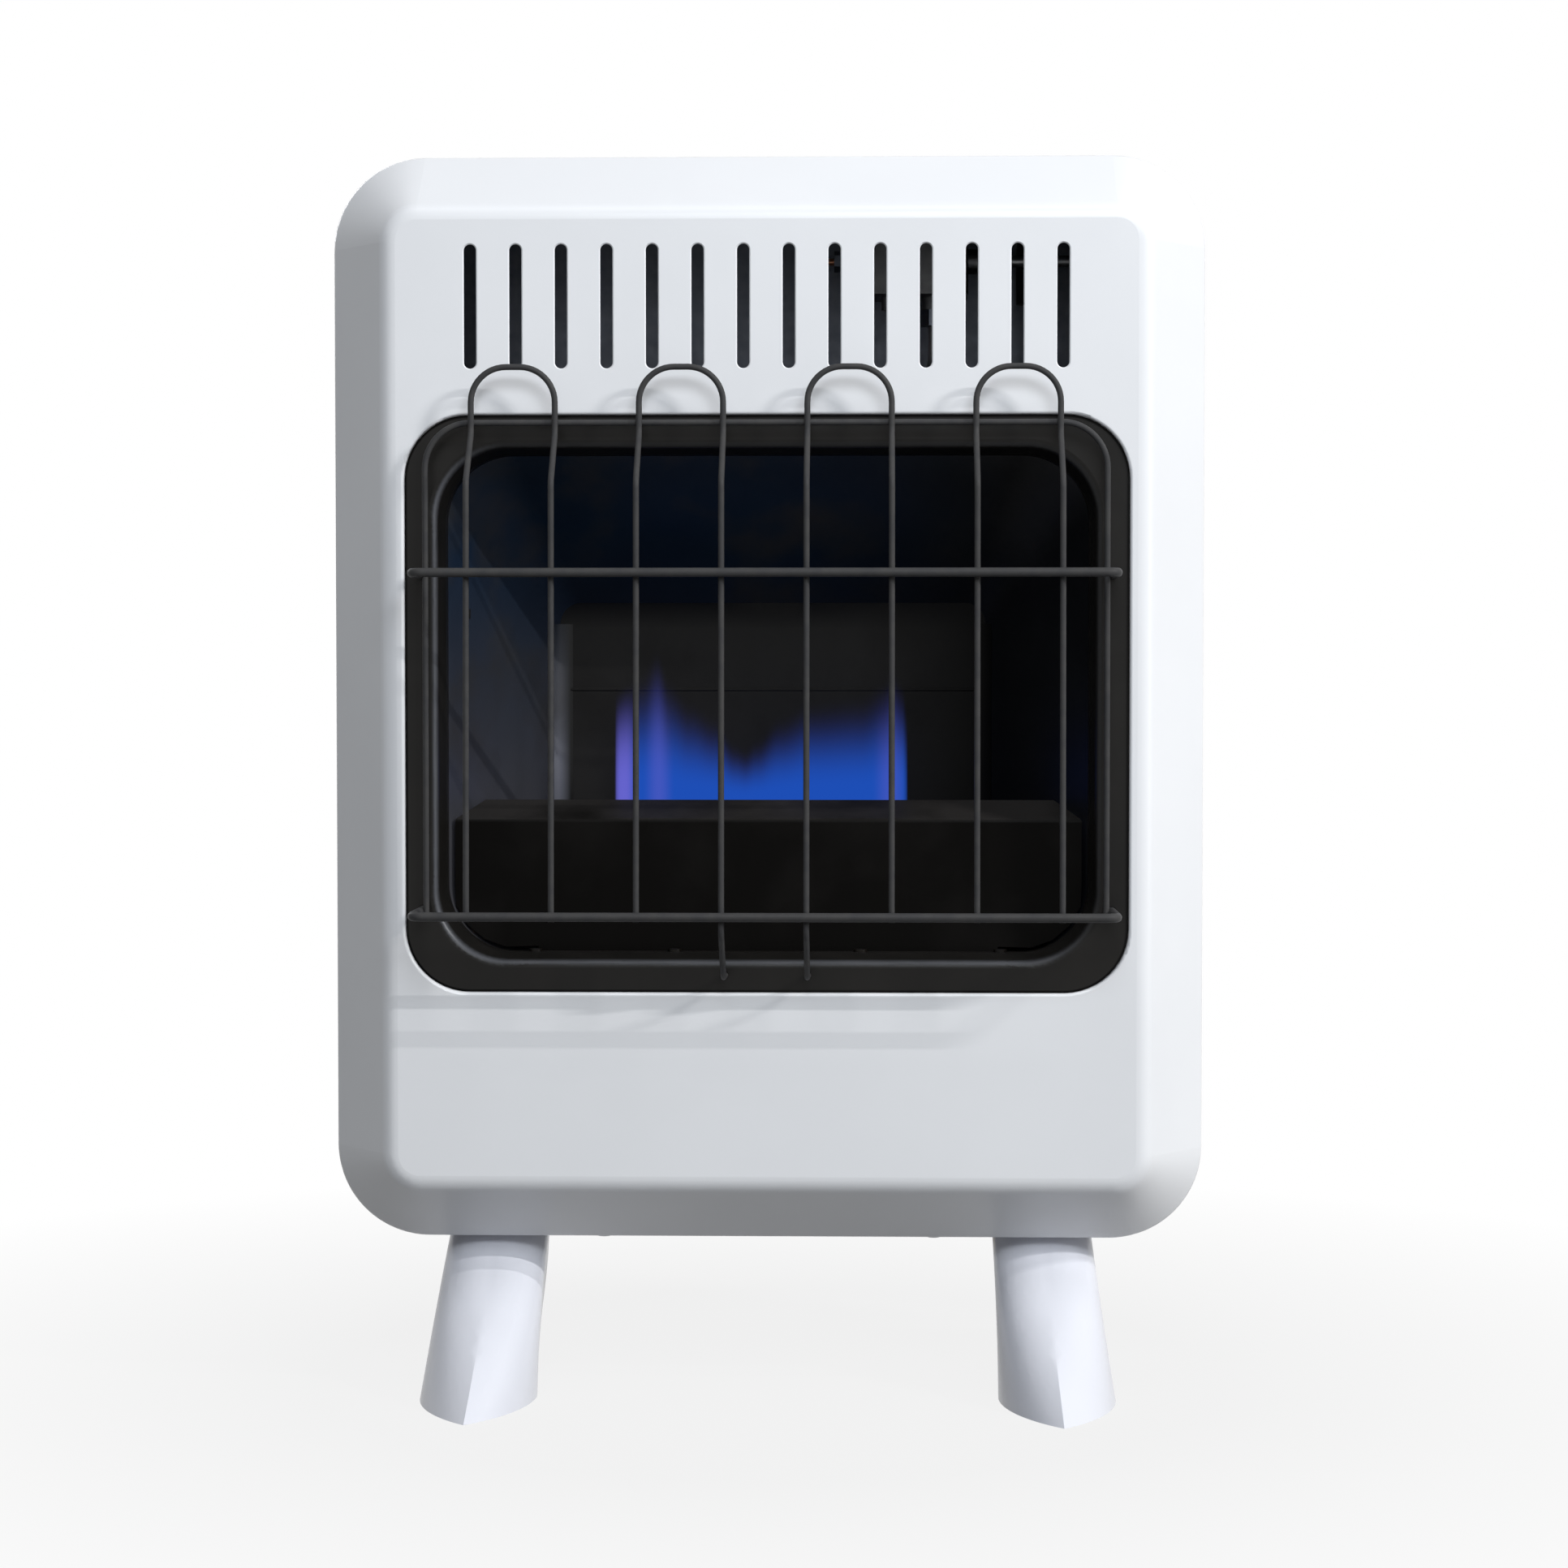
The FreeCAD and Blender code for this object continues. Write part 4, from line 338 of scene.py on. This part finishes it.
# drive recesses in the screw heads, drawn as flat dark crosses (painted shade), with the way each
# head faces (None: away from the middle)
recess = dict(span=0.62, wide=0.2, lift=0.00004, rim=0.00005, digits=5)
headsFace = {"bezel_screws": (0, 0, 1), "panel_screws": (0, 0, -1), "firebox_screws": (0, 1, 0),
             "leg_screws": (0, 0, -1), "floor_screws": (0, 0, 1), "valve_screws": (0, 0, 1),
             "back_screws": None}


def screwIslands(node):
    spots, links = {}, []

    def root(number):
        while links[number] != number:
            number = links[number]
        return number

    numbers = []
    for vertex in node.data.vertices:
        place = node.matrix_world @ vertex.co
        key = tuple(round(value, recess["digits"]) for value in place)
        if key not in spots:
            spots[key] = len(links)
            links.append(len(links))
        numbers.append(spots[key])
    for face in node.data.polygons:
        ends = [root(numbers[corner]) for corner in face.vertices]
        for end in ends[1:]:
            links[root(end)] = root(ends[0])
    groups = {}
    for key, number in spots.items():
        groups.setdefault(root(number), []).append(Vector(key))
    return list(groups.values())


def makeRecesses():
    points, faces = [], []
    for nodeName, facing in headsFace.items():
        for group in screwIslands(nodes[nodeName]):
            centre = sum(group, Vector()) / len(group)
            out = Vector(facing or (math.copysign(1, centre.x), 0, 0))
            top = max(spot.dot(out) for spot in group)
            rim = [spot for spot in group if top - spot.dot(out) < recess["rim"]]
            hub = sum(rim, Vector()) / len(rim)
            radius = max((spot - hub).length for spot in rim)
            across = out.orthogonal().normalized()
            up = out.cross(across)
            long, thin = recess["span"] * radius, recess["wide"] * radius
            ring = [(long, -thin), (long, thin), (thin, thin), (thin, long),
                    (-thin, long), (-thin, thin), (-long, thin), (-long, -thin),
                    (-thin, -thin), (-thin, -long), (thin, -long), (thin, -thin)]
            start = len(points)
            points += [tuple(hub + across * u + up * v + out * recess["lift"]) for u, v in ring]
            faces.append(tuple(range(start, start + len(ring))))
    # crosses in the deep-shade colour: painted shade of the recesses
    meshPiece("driveRecesses", points, faces, materials["deepShade"],
              smooth=False)
    print("screw heads marked:", len(faces))


makeRecesses()


# painted marks: a pointer on the knob, signs and a growing wedge round it, a spark beside the button
dial = dict(centre=(0.080, 0.0175), floor=0.64555, knobTop=0.67135, lift=0.00006,
            pointer=(0.0009, 0.0070, 0.0165), signs=0.0262, steps=24,
            dot=0.0013, dotSteps=20, star=(0.0020, 0.0007), starSteps=8, starTurn=-38,
            drop=dict(wide=0.0017, tall=0.0030, shift=0.0004, taper=1.5),
            wedge=(0.0245, 0.0004, 0.0030), wedgeTurns=(20, 78),
            button=(0.146, 0.0355), boltAway=0.0195,
            bolt=((0.6, 4.2), (-2.0, -0.6), (-0.3, -0.4), (-1.0, -4.2), (2.0, 0.9), (0.3, 0.7)))


def evenTurns(count):
    return [step * math.tau / count for step in range(count)]


def flatMarks(name, rings, z, body):
    points, faces = [], []
    for ring in rings:
        faces.append(tuple(range(len(points), len(points) + len(ring))))
        points += [(x, y, z) for x, y in ring]
    meshPiece(name, points, faces, materials["markWhite"],
              body=body, smooth=False)


def makeMarks():
    cx, cy = dial["centre"]
    half, start, end = dial["pointer"]
    shoulder = cy - end + half
    pointer = [(cx - half, cy - start), (cx - half, shoulder), (cx, cy - end),
               (cx + half, shoulder), (cx + half, cy - start)]
    flatMarks("knobPointer", [pointer], dial["knobTop"] + dial["lift"], "knob")
    reach, steps = dial["signs"], dial["steps"]
    radius = dial["dot"]
    dot = [(cx + radius * math.cos(turn), cy - reach + radius * math.sin(turn))
           for turn in evenTurns(dial["dotSteps"])]
    star, lean = [], math.radians(dial["starTurn"])
    sx, sy = cx + reach * math.cos(lean), cy + reach * math.sin(lean)
    for step, turn in enumerate(evenTurns(dial["starSteps"])):
        size = dial["star"][step % 2]
        star.append((sx + size * math.cos(turn), sy + size * math.sin(turn)))
    drop, shape = [], dial["drop"]
    for turn in evenTurns(steps):
        aside = shape["wide"] * math.sin(turn) * math.sin(turn / 2) ** shape["taper"]
        drop.append((cx + aside, cy + reach + shape["shift"] + shape["tall"] * math.cos(turn)))
    radius, thin, thick = dial["wedge"]
    first, last = dial["wedgeTurns"]
    turns = [math.radians(first + (last - first) * step / steps) for step in range(steps + 1)]
    wedge = [(cx + radius * math.cos(turn), cy + radius * math.sin(turn)) for turn in turns]
    for step, turn in reversed(list(enumerate(turns))):
        outer = radius + thin + (thick - thin) * step / steps
        wedge.append((cx + outer * math.cos(turn), cy + outer * math.sin(turn)))
    bx, by = dial["button"]
    bolt = [(bx + u / 1000, by - dial["boltAway"] + v / 1000) for u, v in dial["bolt"]]
    flatMarks("dialSigns", [dot, star, drop, wedge, bolt], dial["floor"] + dial["lift"], "heater")


makeMarks()
print("marks made")


# flame: one soft sheet folded over the burner's ports, tall at both ends and low in the middle;
# reach, ends, edge and tips are in mm
flame = dict(depth=0.007, base=0.316, start=0.3215, columns=170, rows=30, middle=0.0005,
             steady=0.18, cover=0.62, slim=0.4, fade=1.3, endFade=0.7,
             ends=(2.5, 3.0), edge=(6, 8), tips=((0.35, -62, 9), (0.3, 66, 10)),
             low=(0.014, 0.088, 0.54), high=(0.024, 0.026, 0.13), violet=(0.150, 0.145, 0.70),
             reach=[(-86.5, 60), (-79, 65), (-71, 73), (-63, 83), (-56, 68), (-45, 56),
                    (-31, 47), (-20, 32), (-14, 29), (-8, 34), (5, 47), (22, 56),
                    (50, 59), (62, 66), (68, 72), (73, 66), (76, 54)])


def smoothReach(x):
    knots = flame["reach"]
    for (x0, z0), (x1, z1) in zip(knots, knots[1:]):
        if x <= x1:
            share = max(0.0, (x - x0) / (x1 - x0))
            share = share * share * (3 - 2 * share)
            return z0 + (z1 - z0) * share
    return knots[-1][1]


def flameFinish():
    material, tree, shader = newMaterial("flameGlow")
    glow = tree.nodes.new("ShaderNodeAttribute")
    glow.attribute_name = "glow"
    shader.inputs["Base Color"].default_value = (0, 0, 0, 1)
    shader.inputs["Specular IOR Level"].default_value = 0.0
    shader.inputs["Roughness"].default_value = 1.0
    shader.inputs["Emission Strength"].default_value = 1.0
    tree.links.new(glow.outputs["Color"], shader.inputs["Emission Color"])
    tree.links.new(glow.outputs["Alpha"], shader.inputs["Alpha"])
    return material


def easeDown(value):
    value = min(1.0, max(0.0, value))
    return 1 - value * value * (3 - 2 * value)


def makeFlame():
    look = flame
    left, right = look["reach"][0][0], look["reach"][-1][0]
    points, faces, tints = [], [], []
    (leftEnd, rightEnd), (skip, blend) = look["ends"], look["edge"]
    rows, slim = look["rows"], look["slim"]
    ring = 2 * rows - 1
    for column in range(look["columns"]):
        x = left + (right - left) * column / (look["columns"] - 1)
        tall = look["start"] - look["base"] + smoothReach(x) / 1000
        ends = min(1.0, (x - left) / leftEnd, (right - x) / rightEnd)
        rims = [easeDown((x - left - skip) / blend)]
        rims += [most * easeDown(abs(x - spot) / near) for most, spot, near in look["tips"]]
        rim = max(rims)
        for step in range(ring):
            share = min(step, ring - 1 - step) / (rows - 1)
            side = -1 if step < rows else 1
            wide = look["depth"] * (1 - share ** 2) * (slim + (1 - slim) * ends)
            points.append((x / 1000, look["middle"] + side * wide, look["base"] + tall * share))
            body = easeDown((share - look["steady"]) / (1 - look["steady"]))
            hue = [low + (high - low) * (1 - body) for low, high in zip(look["low"], look["high"])]
            hue = [plain + (tint - plain) * rim for plain, tint in zip(hue, look["violet"])]
            solid = look["cover"] * body ** look["fade"] * max(0.0, ends) ** look["endFade"]
            tints.append((*hue, solid))
    for column in range(look["columns"] - 1):
        for step in range(ring - 1):
            corner = column * ring + step
            faces.append((corner, corner + 1, corner + ring + 1, corner + ring))
    piece = meshPiece("blueFlame", points, faces, flameFinish())
    colors = piece.data.color_attributes.new("glow", "FLOAT_COLOR", "POINT")
    for index, tint in enumerate(tints):
        colors.data[index].color = tint


makeFlame()
print("flame made")


# stage: white floor that keeps a soft shadow, broad front light, two strips from the upper right
# and a fill behind
stage = dict(floor=6.0, floorTone=0.19, floorRough=0.9, whiten=(0.25, 0.75, 0.86, 1.0),
             dim=(1.0, 0.97, 0.93), dimStrength=0.06,
             camera=(0.055, -1.8425, 0.392), turn=(88.05, 0.0, 1.48), lens=76.3, sensor=36,
             aim=(0.0, -0.06, 0.38))


def makeFloor():
    half, tone = stage["floor"], stage["floorTone"]
    mesh = bpy.data.meshes.new("floor")
    corners = [(-half, -half, 0), (half, -half, 0), (half, half, 0), (-half, half, 0)]
    mesh.from_pydata(corners, [], [(0, 1, 2, 3)])
    floor = bpy.data.objects.new("floor", mesh)
    scene.collection.objects.link(floor)
    material, tree, shader = newMaterial("paleFloor")
    shader.inputs["Base Color"].default_value = (tone, tone, tone, 1)
    shader.inputs["Roughness"].default_value = stage["floorRough"]
    shader.inputs["Specular IOR Level"].default_value = 0.0
    place = tree.nodes.new("ShaderNodeTexCoord")
    away = tree.nodes.new("ShaderNodeVectorMath")
    away.operation = "LENGTH"
    tree.links.new(place.outputs["Object"], away.inputs[0])
    most = spread(tree, away.outputs["Value"], *stage["whiten"])
    share, white = whiteToCamera(tree, most)
    mix = tree.nodes.new("ShaderNodeMixShader")
    tree.links.new(share, mix.inputs["Fac"])
    tree.links.new(shader.outputs["BSDF"], mix.inputs[1])
    tree.links.new(white, mix.inputs[2])
    tree.links.new(mix.outputs["Shader"], tree.nodes["Material Output"].inputs["Surface"])
    mesh.materials.append(material)


def seenRays(tree):
    path = tree.nodes.new("ShaderNodeLightPath")
    seen = path.outputs["Is Camera Ray"]
    for name in ("Is Glossy Ray", "Is Transmission Ray"):
        seen = joinMath(tree, "MAXIMUM", seen, path.outputs[name])
    return seen


def whiteToCamera(tree, most):
    white = tree.nodes.new("ShaderNodeEmission")
    white.inputs["Color"].default_value = (1, 1, 1, 1)
    white.inputs["Strength"].default_value = 1.0
    return joinMath(tree, "MULTIPLY", seenRays(tree), most), white.outputs["Emission"]


def makeWorld():
    world = bpy.data.worlds.new("studio")
    scene.world = world
    world.use_nodes = True
    tree = world.node_tree
    dim = tree.nodes["Background"]
    dim.inputs["Color"].default_value = (*stage["dim"], 1)
    dim.inputs["Strength"].default_value = stage["dimStrength"]
    bright = tree.nodes.new("ShaderNodeBackground")
    bright.inputs["Color"].default_value = (1, 1, 1, 1)
    mix = tree.nodes.new("ShaderNodeMixShader")
    tree.links.new(seenRays(tree), mix.inputs["Fac"])
    tree.links.new(dim.outputs["Background"], mix.inputs[1])
    tree.links.new(bright.outputs["Background"], mix.inputs[2])
    tree.links.new(mix.outputs["Shader"], tree.nodes["World Output"].inputs["Surface"])


lamps = {
    "frontSoft": dict(place=(0.50, -2.37, 1.85), size=(1.5, 1.0), watts=41.5,
                      tint=(0.90, 0.95, 1.0)),
    "topSoft": dict(place=(0.0, -0.9, 2.3), size=(1.4, 0.7), watts=8,
                    tint=(0.95, 0.97, 1.0)),
    "rightWindow": dict(place=(2.6, -0.95, 0.45), size=(0.6, 1.3), watts=8.2,
                        tint=(1.0, 0.995, 0.98)),
    "rearFill": dict(place=(-1.5, 2.3, 1.6), size=(1.6, 1.2), watts=22,
                     tint=(0.97, 0.98, 1.0)),
    "rightStripLow": dict(place=(4.2, -2.325, 2.67), size=(1.2, 0.036), watts=178,
                          tint=(1.0, 0.995, 0.98), tilt=39),
    "rightStripHigh": dict(place=(3.885, -2.16, 3.39), size=(1.2, 0.036), watts=102,
                           tint=(1.0, 0.995, 0.98), tilt=39),
}


def makeLamps():
    for name, lamp in lamps.items():
        data = bpy.data.lights.new(name, "AREA")
        data.shape = "RECTANGLE"
        data.size, data.size_y = lamp["size"]
        data.energy = lamp["watts"]
        data.color = lamp["tint"]
        light = bpy.data.objects.new(name, data)
        light.location = lamp["place"]
        if "tilt" in lamp:
            light.rotation_euler = (math.radians(lamp["tilt"]), 0, 0)
        else:
            toward = Vector(stage["aim"]) - light.location
            light.rotation_euler = toward.to_track_quat("-Z", "Y").to_euler()
        scene.collection.objects.link(light)


def makeCamera():
    data = bpy.data.cameras.new("photoView")
    data.lens = stage["lens"]
    data.sensor_width = stage["sensor"]
    camera = bpy.data.objects.new("photoView", data)
    camera.location = stage["camera"]
    camera.rotation_euler = [math.radians(turn) for turn in stage["turn"]]
    scene.collection.objects.link(camera)
    scene.camera = camera


makeFloor()
makeWorld()
makeLamps()
makeCamera()
print("stage set")
